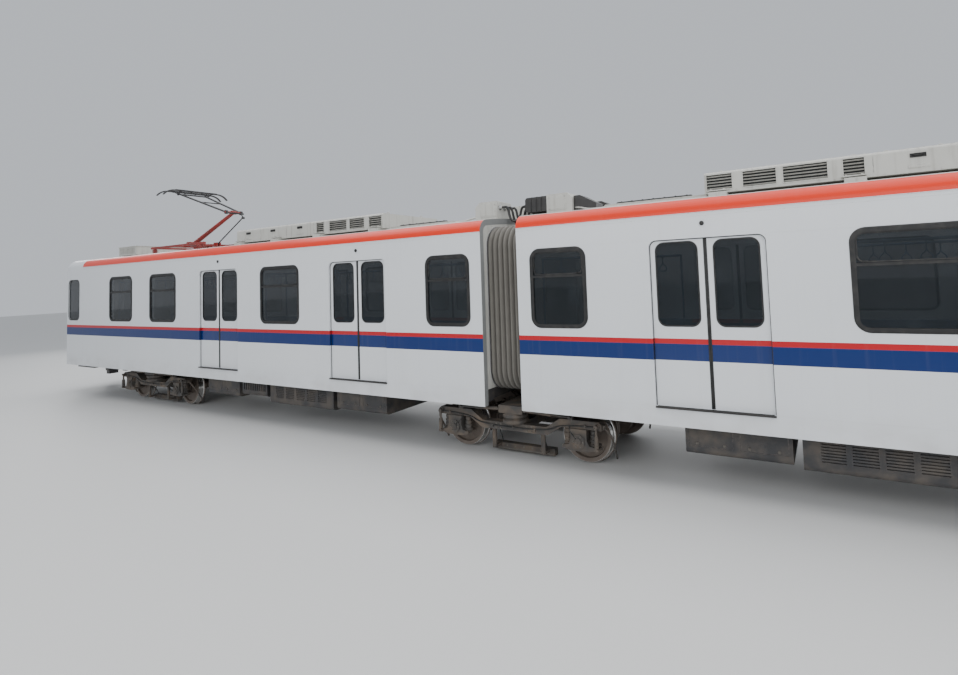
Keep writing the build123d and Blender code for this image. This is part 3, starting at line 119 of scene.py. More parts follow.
class Finish:
    def __init__(self, name):
        self.material = bpy.data.materials.new(name)
        self.material.use_nodes = True
        self.tree = self.material.node_tree
        self.tree.nodes.clear()
        self.place = self.node("TexCoord", output="Object")
        self.x = self.node("SeparateXYZ", inputs={0: self.place}, output=0)
        self.y = self.node("SeparateXYZ", inputs={0: self.place}, output=1)
        self.z = self.node("SeparateXYZ", inputs={0: self.place}, output=2)

    def node(self, kind, settings=None, inputs=None, output=0):
        made = self.tree.nodes.new("ShaderNode" + kind)
        for key, value in (settings or {}).items():
            if key == "stops":
                while len(made.color_ramp.elements) < len(value):
                    made.color_ramp.elements.new(0.5)
                for element, (position, colour) in zip(made.color_ramp.elements, value):
                    element.position, element.color = position, colour
            else:
                setattr(made, key, value)
        for key, value in (inputs or {}).items():
            if isinstance(value, Wire):
                self.tree.links.new(value.socket, made.inputs[key])
            else:
                made.inputs[key].default_value = value
        return Wire(self, made.outputs[output])

    def mix(self, mask, first, second):
        first, second = [v if isinstance(v, Wire) else (*v, 1) for v in (first, second)]
        return self.node("Mix", {"data_type": "RGBA"}, {0: mask, 6: first, 7: second}, 2)

    def rise(self, value, low, high):  # 0 below low, 1 above high
        limits = {"Value": value, "From Min": low, "From Max": high}
        return self.node("MapRange", {"interpolation_type": "SMOOTHSTEP"}, limits)

    def noise(self, scale, detail=3.0, stretch=(1, 1, 1)):
        vector = self.node("Mapping", inputs={"Vector": self.place, "Scale": stretch})
        return self.node("TexNoise", inputs={"Vector": vector, "Scale": scale, "Detail": detail})

    def cells(self, scale):
        return self.node("TexVoronoi", inputs={"Vector": self.place, "Scale": scale})

    def band(self, value, low, high, soft=0.0008):
        return self.rise(value, low - soft, low + soft) * (1 - self.rise(value, high - soft, high + soft))

    def edges(self, width):  # 1 where two faces meet at an edge, 0 on the flat
        rounded = self.node("Bevel", {"samples": 4}, {"Radius": width})
        true = self.node("NewGeometry", output="Normal")
        return self.rise(
            self.node("VectorMath", {"operation": "DOT_PRODUCT"}, {0: rounded, 1: true}, "Value"), 0.985, 0.90
        )

    def bump(self, height, strength, distance=0.002, normal=None):
        inputs = {"Height": height, "Strength": strength, "Distance": distance}
        if normal:
            inputs["Normal"] = normal
        return self.node("Bump", inputs=inputs)

    def surface(self, colour, roughness, normal=None, **constants):
        inputs = {"Base Color": colour if isinstance(colour, Wire) else (*colour, 1), "Roughness": roughness}
        if normal:
            inputs["Normal"] = normal
        for key, value in constants.items():
            inputs[key.replace("_", " ")] = value
        shader = self.node("BsdfPrincipled", inputs=inputs)
        output = self.tree.nodes.new("ShaderNodeOutputMaterial")
        self.tree.links.new(shader.socket, output.inputs["Surface"])
        return self.material


# Finishes

livery = {
    "white": (0.76, 0.78, 0.80),
    "shade": (0.70, 0.725, 0.75),
    "orange": (0.74, 0.030, 0.004),
    "red": (0.50, 0.010, 0.018),
    "blue": (0.002, 0.022, 0.135),
    "roofLight": (0.60, 0.60, 0.565),
    "roofDark": (0.47, 0.465, 0.43),
    "blueBand": (1.582, 1.780),
    "redBand": (1.780, 1.842),
    "orangeBand": (3.346, 3.522),
    "dust": (0.32, 0.29, 0.25),
    "primer": (0.23, 0.22, 0.21),
    "black": (0.012, 0.012, 0.013),
}


def bodyPaint(name, glazed=False):
    f = Finish(name)
    along = f.x.size()
    across = f.y.size()
    sheet = along < car["cabStart"]
    colour = f.mix(f.noise(0.8, 4), livery["white"], livery["shade"])
    colour = f.mix(f.band(f.z, *livery["blueBand"]), colour, livery["blue"])
    colour = f.mix(f.band(f.z, *livery["redBand"]), colour, livery["red"])
    colour = f.mix(f.band(f.z, *livery["orangeBand"]) * sheet, colour, livery["orange"])
    roofTone = f.mix(f.noise(3, 5), livery["roofDark"], livery["roofLight"])
    top = f.rise(f.z, livery["orangeBand"][1] - 0.0008, livery["orangeBand"][1] + 0.0008) * sheet
    colour = f.mix(top, colour, roofTone)
    threshold = (across > 1.3262) * f.band(f.z, 1.005, 1.0315)
    colour = f.mix(threshold, colour, livery["black"])
    # rain has left faint streaks, dust sits along the skirt, and the doorways' edges are rubbed
    streaks = f.rise(f.noise(2.2, 5, (9, 9, 0.22)), 0.50, 0.80)
    skirt = f.rise(f.z, 1.20, 0.78) * f.rise(f.noise(2.6, 6, (1, 1, 1.6)), 0.25, 0.85)
    grime = streaks * 0.04 + skirt * 0.30 + top * f.rise(f.noise(2.4, 6), 0.42, 0.66) * 0.35
    colour = f.mix(grime, colour, livery["dust"])
    # the end walls beside the bellows are coated like them
    way = f.node("NewGeometry", output="Normal")
    end = (along < 0.42) * (f.node("SeparateXYZ", inputs={0: way}, output=0).size() > 0.8)
    colour = f.mix(end, colour, f.mix(f.noise(5, 5), (0.20, 0.205, 0.205), (0.25, 0.255, 0.25)))
    edge = f.edges(0.006)
    chipped = edge * f.rise(f.noise(34, 5), 0.55, 0.66)
    colour = f.mix(edge * 0.22, colour, livery["dust"])
    colour = f.mix(chipped * (1 - threshold) * 0.75, colour, livery["primer"])
    waves = f.bump(f.noise(1.1, 2), 0.10, 0.020)
    peel = f.bump(f.noise(420, 2), 0.05, 0.0004, waves)
    roughness = 0.19 + grime * 0.6 + f.noise(30, 3) * 0.07 + chipped * 0.3
    if not glazed:
        return f.surface(
            colour, roughness + 0.08, peel, Coat_Weight=0.12, Coat_Roughness=0.10, Specular_IOR_Level=0.35
        )
    # the leaves' glass lies inside the leaf, so its depth and height tell it from the paint
    pane = f.band(across, 1.2735, 1.2825, 0.0002) * f.band(f.z, 1.9905, 3.0075, 0.0002)
    glass = f.mix(f.rise(f.noise(2, 5), 0.40, 0.75), (0.006, 0.010, 0.013), (0.012, 0.017, 0.021))
    shine = roughness * (1 - pane) + pane * 0.04
    return f.surface(
        f.mix(pane, colour, glass), shine, peel, Coat_Weight=0.12, Coat_Roughness=0.06, Alpha=1 - pane * 0.34
    )


def tintedGlass(name, tint, clear):
    f = Finish(name)
    smear = f.rise(f.noise(4, 5, (1, 1, 0.5)), 0.45, 0.8)
    colour = f.mix(smear, tint, [v * 1.6 + 0.01 for v in tint])
    ripple = f.bump(f.noise(1.6, 1), 0.05, 0.01)
    roughness = 0.035 + smear * 0.05
    solid = 1 - clear
    return f.surface(
        colour, roughness, ripple, Alpha=solid + smear * 0.05, Specular_IOR_Level=0.6, Coat_Weight=0.25
    )


def rubber(name, tone, dusty=0.35):
    f = Finish(name)
    dust = f.rise(f.noise(14, 5), 0.42, 0.78) * dusty
    colour = f.mix(dust, [tone] * 3, (0.20, 0.185, 0.165))
    grain = f.bump(f.noise(260, 3), 0.25, 0.0006)
    return f.surface(colour, 0.52 + dust * 0.5, grain)


def bellowsCloth():
    f = Finish("bellowsCloth")
    weave = f.node(
        "TexWave", {"bands_direction": "Z"}, {"Vector": f.place, "Scale": 150.0, "Distortion": 0.4}
    )
    colour = f.mix(f.noise(6, 5), (0.120, 0.111, 0.096), (0.175, 0.163, 0.143))
    dust = f.rise(f.noise(2.2, 6, (1, 1, 0.4)), 0.40, 0.80) * 0.30
    colour = f.mix(dust, colour, (0.27, 0.255, 0.225))
    low = f.rise(f.z, 1.9, 0.95) * 0.35
    colour = f.mix(low, colour, (0.12, 0.11, 0.10))
    relief = f.bump(weave * 0.4 + f.noise(90, 4), 0.35, 0.0014)
    return f.surface(colour, 0.78 - dust * 0.1, relief, Sheen_Weight=0.15)


def roofGearPaint():
    f = Finish("roofGearPaint")
    along = f.x.size()
    across = f.y.size()
    colour = f.mix(f.noise(3, 5), (0.57, 0.565, 0.53), (0.45, 0.445, 0.41))
    drips = f.rise(f.noise(2.6, 5, (6, 6, 0.5)), 0.50, 0.76)
    colour = f.mix(drips * 0.35, colour, (0.21, 0.19, 0.16))
    edge = f.edges(0.008)
    rubbed = edge * f.rise(f.noise(26, 5), 0.42, 0.60)
    colour = f.mix(edge * 0.35, colour, (0.66, 0.65, 0.62))
    colour = f.mix(rubbed * 0.65, colour, (0.16, 0.15, 0.14))
    # painted shade: behind the grilles' slats the recess is painted black
    recessShade = (across < 0.7485) * (across > 0.60) * f.band(f.z, 3.672, 3.858) * f.band(along, 2.86, 4.61)
    step = f.node("Math", {"operation": "FRACT"}, {0: (f.z - 3.670) * (5 / 0.190)})
    between = (step - 0.5).size() > 0.24  # the slats' upper and lower edges lie in shadow
    side = f.node("NewGeometry", output="Normal")
    upright = f.node("SeparateXYZ", inputs={0: side}, output=1).size() > 0.8
    colour = f.mix(recessShade * ((upright + between) > 0.5), colour, livery["black"])
    # section b's sockets and conduit hoods are black
    sockets = f.band(f.x, 0.055, 0.449) * f.band(f.z, 3.60, 3.885)
    hoods = f.band(f.x, 0.8795, 1.245) * f.band(across, 0.295, 0.565) * (f.z < 3.845)
    dark = (sockets + hoods) > 0.5
    colour = f.mix(dark, colour, f.mix(f.noise(9, 5), (0.014, 0.014, 0.015), (0.045, 0.042, 0.038)))
    chips = f.bump(f.noise(55, 5), 0.18, 0.002)
    return f.surface(colour, 0.42 + drips * 0.25 + rubbed * 0.2, chips)


def steelPaint(name, tone, dust, dusty=0.6, roughness=0.55):
    f = Finish(name)
    caked = f.rise(f.noise(5, 6), 0.34, 0.76) * dusty
    colour = f.mix(caked, tone, dust)
    rust = f.rise(f.noise(38, 5), 0.60, 0.72) * 0.30
    colour = f.mix(rust, colour, (0.10, 0.045, 0.022))
    edge = f.edges(0.007)
    bare = edge * f.rise(f.noise(30, 5), 0.44, 0.60)
    colour = f.mix(edge * 0.30, colour, [v * 2.2 + 0.02 for v in tone])
    colour = f.mix(bare * 0.7, colour, (0.21, 0.185, 0.165))
    relief = f.bump(f.noise(48, 6), 0.32, 0.003)
    return f.surface(colour, roughness + caked * 0.30 - bare * 0.15, relief, Metallic=bare * 0.5)


def wheelSteel():
    f = Finish("wheelSteel")
    # distance from the axle: the axles lie 1.05 m either side of each bogie's middle
    toBogie = (f.x.size() - 5.0).size() - 5.0
    toAxle = toBogie.size() - car["halfWheelbase"]
    up = f.z - car["axleZ"]
    radius = (toAxle * toAxle + up * up) ** 0.5
    tread = f.rise(radius, 0.359, 0.364) * (f.y.size() > 0.705)
    tone = f.mix(f.noise(11, 6), (0.12, 0.09, 0.07), (0.22, 0.19, 0.165))
    colour = f.mix(tread, tone, (0.60, 0.59, 0.57))
    scratches = f.noise(120, 4, (1, 0.08, 1))
    relief = f.bump(scratches, 0.2, 0.0012)
    return f.surface(colour, 0.62 - tread * 0.40, relief, Metallic=0.35 + tread * 0.6)


def bareMetal(name, tone, roughness):
    f = Finish(name)
    colour = f.mix(f.noise(12, 5), tone, [v * 0.66 for v in tone])
    relief = f.bump(f.noise(60, 5), 0.15, 0.001)
    return f.surface(colour, roughness + f.noise(30, 4) * 0.15, relief, Metallic=0.9)


def plastic(name, tone, other, roughness=0.42):
    f = Finish(name)
    colour = f.mix(f.rise(f.noise(7, 5), 0.35, 0.75), tone, other)
    pebble = f.bump(f.cells(340), 0.18, 0.0005)
    return f.surface(colour, roughness + f.noise(22, 3) * 0.12, pebble)


def floorCover():
    f = Finish("floorCover")
    specks = f.cells(170) < 0.28
    colour = f.mix(specks, (0.11, 0.115, 0.12), (0.22, 0.225, 0.23))
    worn = f.rise(0.5 - f.y.size(), 0.0, 0.35) * f.noise(3, 5)
    return f.surface(f.mix(worn * 0.4, colour, (0.26, 0.25, 0.23)), 0.6, f.bump(f.noise(200, 3), 0.1, 0.0005))


def glowing(name, tone, strength):
    f = Finish(name)
    glow = f.mix(f.noise(30, 2), tone, [v * 0.92 for v in tone])
    return f.surface(tone, 0.3, Emission_Color=glow, Emission_Strength=strength)


def lampGlass():
    f = Finish("lampGlass")
    ribs = f.node("TexWave", {"bands_direction": "Y"}, {"Vector": f.place, "Scale": 28.0, "Distortion": 0.0})
    outer = f.y.size() > 0.720
    across = (f.y.size() - 0.720).size() - 0.115
    up = f.z - 1.300
    radius = (across * across + up * up) ** 0.5
    # painted reflection: each lamp is light in the middle and darker towards its rim, the head lamps white to
    # grey, the tail lamps light red to dark red
    bowlReflection = f.mix(f.rise(radius, 0.010, 0.070), (0.88, 0.90, 0.92), (0.36, 0.38, 0.40))
    colour = f.mix(
        outer, bowlReflection, f.mix(f.rise(radius, 0.010, 0.075), (0.52, 0.022, 0.015), (0.24, 0.008, 0.006))
    )
    colour = f.mix(f.rise(radius, 0.076, 0.080), colour, (0.03, 0.03, 0.032))
    return f.surface(colour, 0.10, f.bump(ribs, 0.5, 0.003), Coat_Weight=0.6, Specular_IOR_Level=0.6)


finishes = {
    "body_white": bodyPaint("bodyPaint"),
    "door_paint": bodyPaint("doorPaint", glazed=True),
    "window_glass": tintedGlass("windowGlass", (0.006, 0.010, 0.013), 0.36),
    "window_rubber": rubber("windowRubber", 0.011, 0.10),
    "bellows_rubber": bellowsCloth(),
    "roof_gear_paint": roofGearPaint(),
    "underframe_paint": steelPaint("underframePaint", (0.035, 0.035, 0.037), (0.15, 0.125, 0.10)),
    "bogie_paint": steelPaint("bogiePaint", (0.050, 0.047, 0.044), (0.17, 0.13, 0.095), 0.8, 0.6),
    "wheel_steel": wheelSteel(),
    "coupler_iron": steelPaint("couplerIron", (0.030, 0.030, 0.032), (0.12, 0.10, 0.085), 0.5, 0.5),
    "saloon_plastic": plastic("saloonPlastic", (0.05, 0.12, 0.26), (0.07, 0.15, 0.30)),
    "cab_plastic": plastic("cabPlastic", (0.17, 0.175, 0.18), (0.21, 0.215, 0.22), 0.5),
    "floor_plate": bareMetal("floorPlate", (0.42, 0.42, 0.43), 0.35),
    "lamp_glass": lampGlass(),
    "panto_red": steelPaint("pantoRed", (0.30, 0.022, 0.018), (0.12, 0.07, 0.06), 0.45, 0.45),
    "panto_black": steelPaint("pantoBlack", (0.020, 0.020, 0.022), (0.09, 0.08, 0.07), 0.3, 0.42),
}
brightTrim = bareMetal("brightTrim", (0.55, 0.55, 0.56), 0.28)
blackTrim = rubber("blackTrim", 0.010, 0.18)
cableSkin = rubber("cableSkin", 0.014, 0.25)
dullSteel = bareMetal("dullSteel", (0.21, 0.195, 0.175), 0.48)
carbon = bareMetal("carbon", (0.055, 0.055, 0.058), 0.38)
ceramic = plastic("ceramic", (0.16, 0.055, 0.030), (0.20, 0.075, 0.040), 0.16)
ceilingGlow = glowing("ceilingGlow", (0.92, 0.95, 1.0), 1.6)
seatShell = plastic("seatShell", (0.055, 0.13, 0.28), (0.07, 0.16, 0.32), 0.35)
liningCloth = plastic("liningCloth", (0.30, 0.30, 0.29), (0.36, 0.36, 0.345), 0.7)
saloonLining = plastic("saloonLining", (0.50, 0.50, 0.47), (0.56, 0.56, 0.53), 0.5)
floorFinish = floorCover()

slotOf = {entry["node"]: entry["material_slot"] for entry in frame["record"]["subparts"]}
for name, node in nodes.items():
    for holder in node.material_slots:
        holder.material = finishes[slotOf[name]]
print("finishes given to the solids:", len(finishes))


# Ways to model a piece

def clearSelection():
    if bpy.context.object and bpy.context.object.mode != "OBJECT":
        bpy.ops.object.mode_set(mode="OBJECT")
    bpy.ops.object.select_all(action="DESELECT")


def takeUp(piece):
    clearSelection()
    piece.select_set(True)
    bpy.context.view_layer.objects.active = piece


def settle(piece):  # puts the place into the mesh
    takeUp(piece)
    bpy.ops.object.transform_apply(location=True, rotation=True, scale=True)
    return piece


def newBox(name, low, high):
    clearSelection()
    low, high = Vector(low), Vector(high)
    bpy.ops.mesh.primitive_cube_add(size=1, location=(low + high) / 2)
    piece = bpy.context.object
    piece.name, piece.scale = name, high - low
    return settle(piece)


def newTube(name, start, end, radius, sides=24):
    clearSelection()
    line = Vector(end) - Vector(start)
    turn = line.to_track_quat("Z", "Y").to_euler()
    bpy.ops.mesh.primitive_cylinder_add(
        vertices=sides, radius=radius, depth=line.length, location=(Vector(start) + Vector(end)) / 2,
        rotation=turn,
    )
    bpy.context.object.name = name
    return settle(bpy.context.object)


def choose(piece, faceTest):  # in edit mode: selects the faces that pass a test
    net = bmesh.from_edit_mesh(piece.data)
    for part in (*net.verts, *net.edges, *net.faces):
        part.select_set(False)
    for face in net.faces:
        if faceTest(face):
            face.select_set(True)
    bmesh.update_edit_mesh(piece.data)


def modify(piece, kind, **settings):
    takeUp(piece)
    change = piece.modifiers.new(kind.lower(), kind)
    for key, value in settings.items():
        setattr(change, key, value)
    bpy.ops.object.modifier_apply(modifier=change.name)
    return piece


def roundEdges(piece, width, segments=2):
    return modify(
        piece, "BEVEL", width=width, segments=segments, angle_limit=radians(40), limit_method="ANGLE"
    )


def moved(piece, move):
    twin = piece.copy()
    twin.data = piece.data.copy()
    bpy.context.scene.collection.objects.link(twin)
    twin.data.transform(move)
    if move.determinant() < 0:
        twin.data.flip_normals()
    return twin


def joined(name, parts):
    clearSelection()
    for part in parts:
        part.select_set(True)
    bpy.context.view_layer.objects.active = parts[0]
    if len(parts) > 1:
        bpy.ops.object.join()
    piece = bpy.context.object
    piece.name = name
    return piece


def repeated(name, pattern, moves):
    parts = [moved(pattern, move) for move in moves]
    bpy.data.objects.remove(pattern)
    return joined(name, parts)


def bothSides(name, parts):
    near = joined(name, parts)
    return joined(name, [near, moved(near, mirrorY)])


def shift(x=0.0, y=0.0, z=0.0):
    return Matrix.Translation((x, y, z))


def shape(piece, faceTest, *steps):  # picks faces in edit mode and works on them, one step after the other
    takeUp(piece)
    bpy.ops.object.mode_set(mode="EDIT")
    choose(piece, faceTest)
    for kind, value in steps:
        if kind == "inset":
            bpy.ops.mesh.inset(thickness=value)
        elif kind == "push":
            bpy.ops.mesh.extrude_region_move(TRANSFORM_OT_translate={"value": value})
        elif kind == "divide":
            bpy.ops.mesh.subdivide(number_cuts=value)
        elif kind == "remove":
            bpy.ops.mesh.delete(type=value)
    bpy.ops.object.mode_set(mode="OBJECT")
    return piece


def facing(x=0, y=0, z=0):  # a test for faces that look one way
    way = Vector((x, y, z))
    return lambda face: face.normal.dot(way) > 0.9


# a box with a field raised or sunk inside a rim
def newPlate(name, low, high, rim, depth, way, rounding=0.003):
    plate = newBox(name, low, high)
    out = Vector(way)
    shape(plate, facing(*way), ("inset", rim), ("push", tuple(out * depth)), ("inset", abs(depth)))
    return roundEdges(plate, rounding, 2)


def newPipe(name, points, radius, sides=3):  # a bent tube along a smooth line
    clearSelection()
    line = bpy.data.curves.new(name, "CURVE")
    line.dimensions = "3D"
    line.bevel_depth, line.bevel_resolution, line.use_fill_caps, line.resolution_u = radius, sides, True, 5
    spline = line.splines.new("NURBS")
    spline.points.add(len(points) - 1)
    for knot, point in zip(spline.points, points):
        knot.co = (*point, 1)
    spline.order_u = 3
    spline.use_endpoint_u = True
    pipe = bpy.data.objects.new(name, line)
    bpy.context.scene.collection.objects.link(pipe)
    takeUp(pipe)
    bpy.ops.object.convert(target="MESH")
    return bpy.context.object


def newBolt(name, place, way, radius=0.011):  # a hexagon head on a washer
    place, way = Vector(place), Vector(way)
    head = newTube(name, place, place + way * radius * 0.75, radius, 6)
    roundEdges(head, radius * 0.12, 1)
    washer = newTube("washer", place - way * 0.002, place + way * radius * 0.22, radius * 1.45, 12)
    return joined(name, [head, washer])


def bolted(name, places, way, radius=0.011):  # a row of bolts as one piece
    bolt = newBolt(name, (0, 0, 0), way, radius)
    return repeated(name, bolt, [shift(*place) for place in places])


def along(start, end, count):  # places at equal steps from start to end
    start, end = Vector(start), Vector(end)
    return [tuple(start.lerp(end, step / (count - 1))) for step in range(count)]


def clad(piece, material, angle):
    takeUp(piece)
    piece.data.materials.clear()
    piece.data.materials.append(material)
    bpy.ops.object.shade_smooth_by_angle(angle=radians(angle))


def give(piece, body, slot, material=None):
    clad(piece, material or finishes[slot], 35)
    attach(piece, body)


def onBothSections(pattern, name, slot, material=None, sides=True):
    for section, toSection in sectionMoves.items():
        moves = [toSection, toSection @ mirrorY] if sides else [toSection]
        piece = joined(f"{name}_{section}", [moved(pattern, move) for move in moves])
        give(piece, f"section_{section}", slot, material)
    bpy.data.objects.remove(pattern)


def roundedRing(name, width, height, corner, band, proud):  # a frame in the xz plane, its back on y = 0
    clearSelection()
    bpy.ops.mesh.primitive_plane_add(size=1, rotation=(pi / 2, 0, 0))
    piece = bpy.context.object
    piece.name, piece.scale = name, (width, height, 1)
    settle(piece)
    bpy.ops.object.mode_set(mode="EDIT")
    bpy.ops.mesh.select_all(action="SELECT")
    bpy.ops.mesh.bevel(offset=corner, offset_type="OFFSET", segments=7, affect="VERTICES")
    bpy.ops.mesh.inset(thickness=band)
    bpy.ops.mesh.delete(type="FACE")
    bpy.ops.mesh.select_all(action="SELECT")
    bpy.ops.mesh.extrude_region_move(TRANSFORM_OT_translate={"value": (0, -proud, 0)})
    bpy.ops.mesh.select_all(action="SELECT")
    bpy.ops.mesh.normals_make_consistent(inside=False)
    bpy.ops.object.mode_set(mode="OBJECT")
    return piece


# Camera, floor and light: the photograph's viewing angle

def setCamera():
    view = {
        "place": (4.160, -7.612, 2.675),
        "yaw": 28.156,
        "pitch": 3.090,
        "roll": -2.254,
        "focalPixels": 521.76,
        "centre": (546.37, 246.41),
        "picture": (958, 675),
    }
    yaw, pitch, roll = [radians(view[key]) for key in ("yaw", "pitch", "roll")]
    ahead = Vector((-sin(yaw) * cos(pitch), cos(yaw) * cos(pitch), sin(pitch)))
    level = Vector((cos(yaw), sin(yaw), 0))
    up = level.cross(ahead)
    across = cos(roll) * level + sin(roll) * up
    above = -sin(roll) * level + cos(roll) * up
    lens = bpy.data.cameras.new("camera")
    wide, high = view["picture"]
    lens.lens = view["focalPixels"] / wide * lens.sensor_width
    lens.shift_x = (wide / 2 - view["centre"][0]) / wide
    lens.shift_y = (view["centre"][1] - high / 2) / wide
    lens.clip_end = 300
    camera = bpy.data.objects.new("camera", lens)
    bpy.context.scene.collection.objects.link(camera)
    turn = Matrix((across, above, -ahead)).transposed()
    camera.matrix_world = Matrix.Translation(view["place"]) @ turn.to_4x4()
    bpy.context.scene.camera = camera


def setStage():
    stage = {"half": 90, "tone": (0.62, 0.62, 0.61)}
    clearSelection()
    bpy.ops.mesh.primitive_plane_add(size=2 * stage["half"])
    floor = bpy.context.object
    floor.name = "floor"
    f = Finish("floorTone")
    floor.data.materials.append(f.surface(stage["tone"], 0.55))


def setLights():
    lamps = (  # name, place, aim, size along, size across, power
        ("canopy", (0, -1.0, 13.0), (0, 0, 0), 34, 12, 2300),
        ("platform", (4, -12.0, 6.5), (0, -1, 1.6), 26, 5, 900),
        ("farSide", (-2, 12.0, 6.0), (0, 1, 1.6), 26, 5, 600),
        ("endB", (26, -6.0, 7.0), (12, 0, 2), 8, 5, 420),
        ("endA", (-26, 5.0, 7.0), (-12, 0, 2), 8, 5, 420),
    )
    for name, place, aim, along, across, power in lamps:
        light = bpy.data.lights.new(name, "AREA")
        light.shape, light.size, light.size_y, light.energy = "RECTANGLE", along, across, power
        holder = bpy.data.objects.new(name, light)
        bpy.context.scene.collection.objects.link(holder)
        holder.location = place
        holder.rotation_euler = (Vector(aim) - Vector(place)).to_track_quat("-Z", "Y").to_euler()
    world = bpy.data.worlds.new("studio")
    bpy.context.scene.world = world
    world.use_nodes = True
    world.node_tree.nodes["Background"].inputs["Color"].default_value = (0.80, 0.84, 0.90, 1)
    world.node_tree.nodes["Background"].inputs["Strength"].default_value = 0.75


setCamera()
setStage()
setLights()
print("camera, floor and lights set")


# Bellows: folds of coated cloth between two end frames

def bellowsPiece():
    cloth = {
        "reach": 0.3095,
        "folds": 7,
        "outerY": 1.165,
        "footZ": 0.985,
        "topZ": 3.440,
        "endY": 0.70,
        "corner": 0.32,
        "depth": 0.085,
        "stepsPerFold": 8,
        "thickness": 0.004,
    }
    halfY, corner = cloth["outerY"], cloth["corner"]
    # the route round the gangway, from one end under the floor to the other: point, outward direction
    route = [((cloth["endY"], cloth["footZ"]), (0, -1))]
    corners = (
        ((halfY - corner, cloth["footZ"] + corner), -90),
        ((halfY - corner, cloth["topZ"] - corner), 0),
        ((-halfY + corner, cloth["topZ"] - corner), 90),
        ((-halfY + corner, cloth["footZ"] + corner), 180),
    )
    for (centreY, centreZ), startAngle in corners:
        for step in range(9):
            angle = radians(startAngle + 90 * step / 8)
            out = (cos(angle), sin(angle))
            route.append(((centreY + corner * out[0], centreZ + corner * out[1]), out))
    route.append(((-cloth["endY"], cloth["footZ"]), (0, -1)))
    rings = cloth["folds"] * cloth["stepsPerFold"]
    net = bmesh.new()
    rows = []
    for ring in range(rings + 1):
        x = -cloth["reach"] + 2 * cloth["reach"] * ring / rings
        wave = abs(sin(pi * ring / cloth["stepsPerFold"])) ** 0.75  # round crests, narrow valleys
        sink = cloth["depth"] * (1 - wave)
        rows.append([net.verts.new((x, y - out[0] * sink, z - out[1] * sink)) for (y, z), out in route])
    for first, second in zip(rows, rows[1:]):
        for k in range(len(route) - 1):
            net.faces.new((first[k], first[k + 1], second[k + 1], second[k]))
    bmesh.ops.recalc_face_normals(net, faces=net.faces)
    mesh = bpy.data.meshes.new("bellowsCloth")
    net.to_mesh(mesh)
    net.free()
    piece = bpy.data.objects.new("bellowsFolds", mesh)
    bpy.context.scene.collection.objects.link(piece)
    modify(piece, "SOLIDIFY", thickness=cloth["thickness"], offset=0)
    clad(piece, finishes["bellows_rubber"], 50)
    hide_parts("bellows")
    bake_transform(piece)


bellowsPiece()
print("bellows folded")


# Doors: rubber round each leaf's glass and along the edges where leaves meet

def doorTrim():
    trim = {
        "glassWidth": 0.511,
        "glassEdge": 0.089,
        "glassFootZ": 1.990,
        "glassTopZ": 3.008,
        "glassCorner": 0.110,
        "band": 0.020,
        "proud": 0.0035,
        "lipWidth": 0.022,
        "lipThickness": 0.037,
        "gap": 0.0025,
        "footZ": 1.034,
        "topZ": 3.034,
    }
    glassHeight = trim["glassTopZ"] - trim["glassFootZ"]
    for way, sign in (("inner", -1), ("outer", 1)):
        ring = roundedRing(
            "ring", trim["glassWidth"] + 0.012, glassHeight + 0.012, trim["glassCorner"], trim["band"],
            trim["proud"],
        )
        roundEdges(ring, 0.002, 2)
        centreX = sign * (trim["gap"] + trim["glassEdge"] + trim["glassWidth"] / 2)
        centreZ = trim["glassFootZ"] + glassHeight / 2
        ring.data.transform(shift(centreX, -car["leafY"], centreZ))
        near, far = sorted((sign * (trim["gap"] - 0.0022), sign * trim["lipWidth"]))
        lip = newBox(
            "lip", (near, -car["leafY"] - 0.004, trim["footZ"]),
            (far, -car["leafY"] + trim["lipThickness"] - 0.004, trim["topZ"]),
        )
        roundEdges(lip, 0.003, 2)
        pattern = joined("leafTrim", [ring, lip])
        for section, toSection in sectionMoves.items():
            for side, toSide in (("near", Matrix.Identity(4)), ("far", mirrorY)):
                moves = [toSection @ toSide @ shift(near + car["doorWidth"] / 2) for near in car["doorways"]]
                piece = joined(f"leafRubber_{side}_{way}_{section}", [moved(pattern, move) for move in moves])
                give(piece, f"leaves_{side}_{way}_{section}", "window_rubber")
        bpy.data.objects.remove(pattern)


def doorLamps():
    lamp = {"x": 2.885, "z": 3.210, "radius": 0.021, "proud": 0.012}
    bezel = newTube("bezel", (0, 0.004, 0), (0, -lamp["proud"], 0), lamp["radius"] + 0.006, 28)
    sunk = (("inset", 0.007), ("push", (0, 0.006, 0)), ("inset", 0.002), ("push", (0, -0.007, 0)))
    shape(bezel, facing(y=-1), *sunk)
    roundEdges(bezel, 0.0015, 2)
    step = car["doorways"][1] - car["doorways"][0]
    moves = [shift(lamp["x"] + step * count, -car["wallY"], lamp["z"]) for count in range(2)]
    onBothSections(repeated("doorLamp", bezel, moves), "doorLamp", "window_rubber", blackTrim)


doorTrim()
doorLamps()
print("doors trimmed")


# Doorways: a seal round each opening and a ribbed tread on its sill

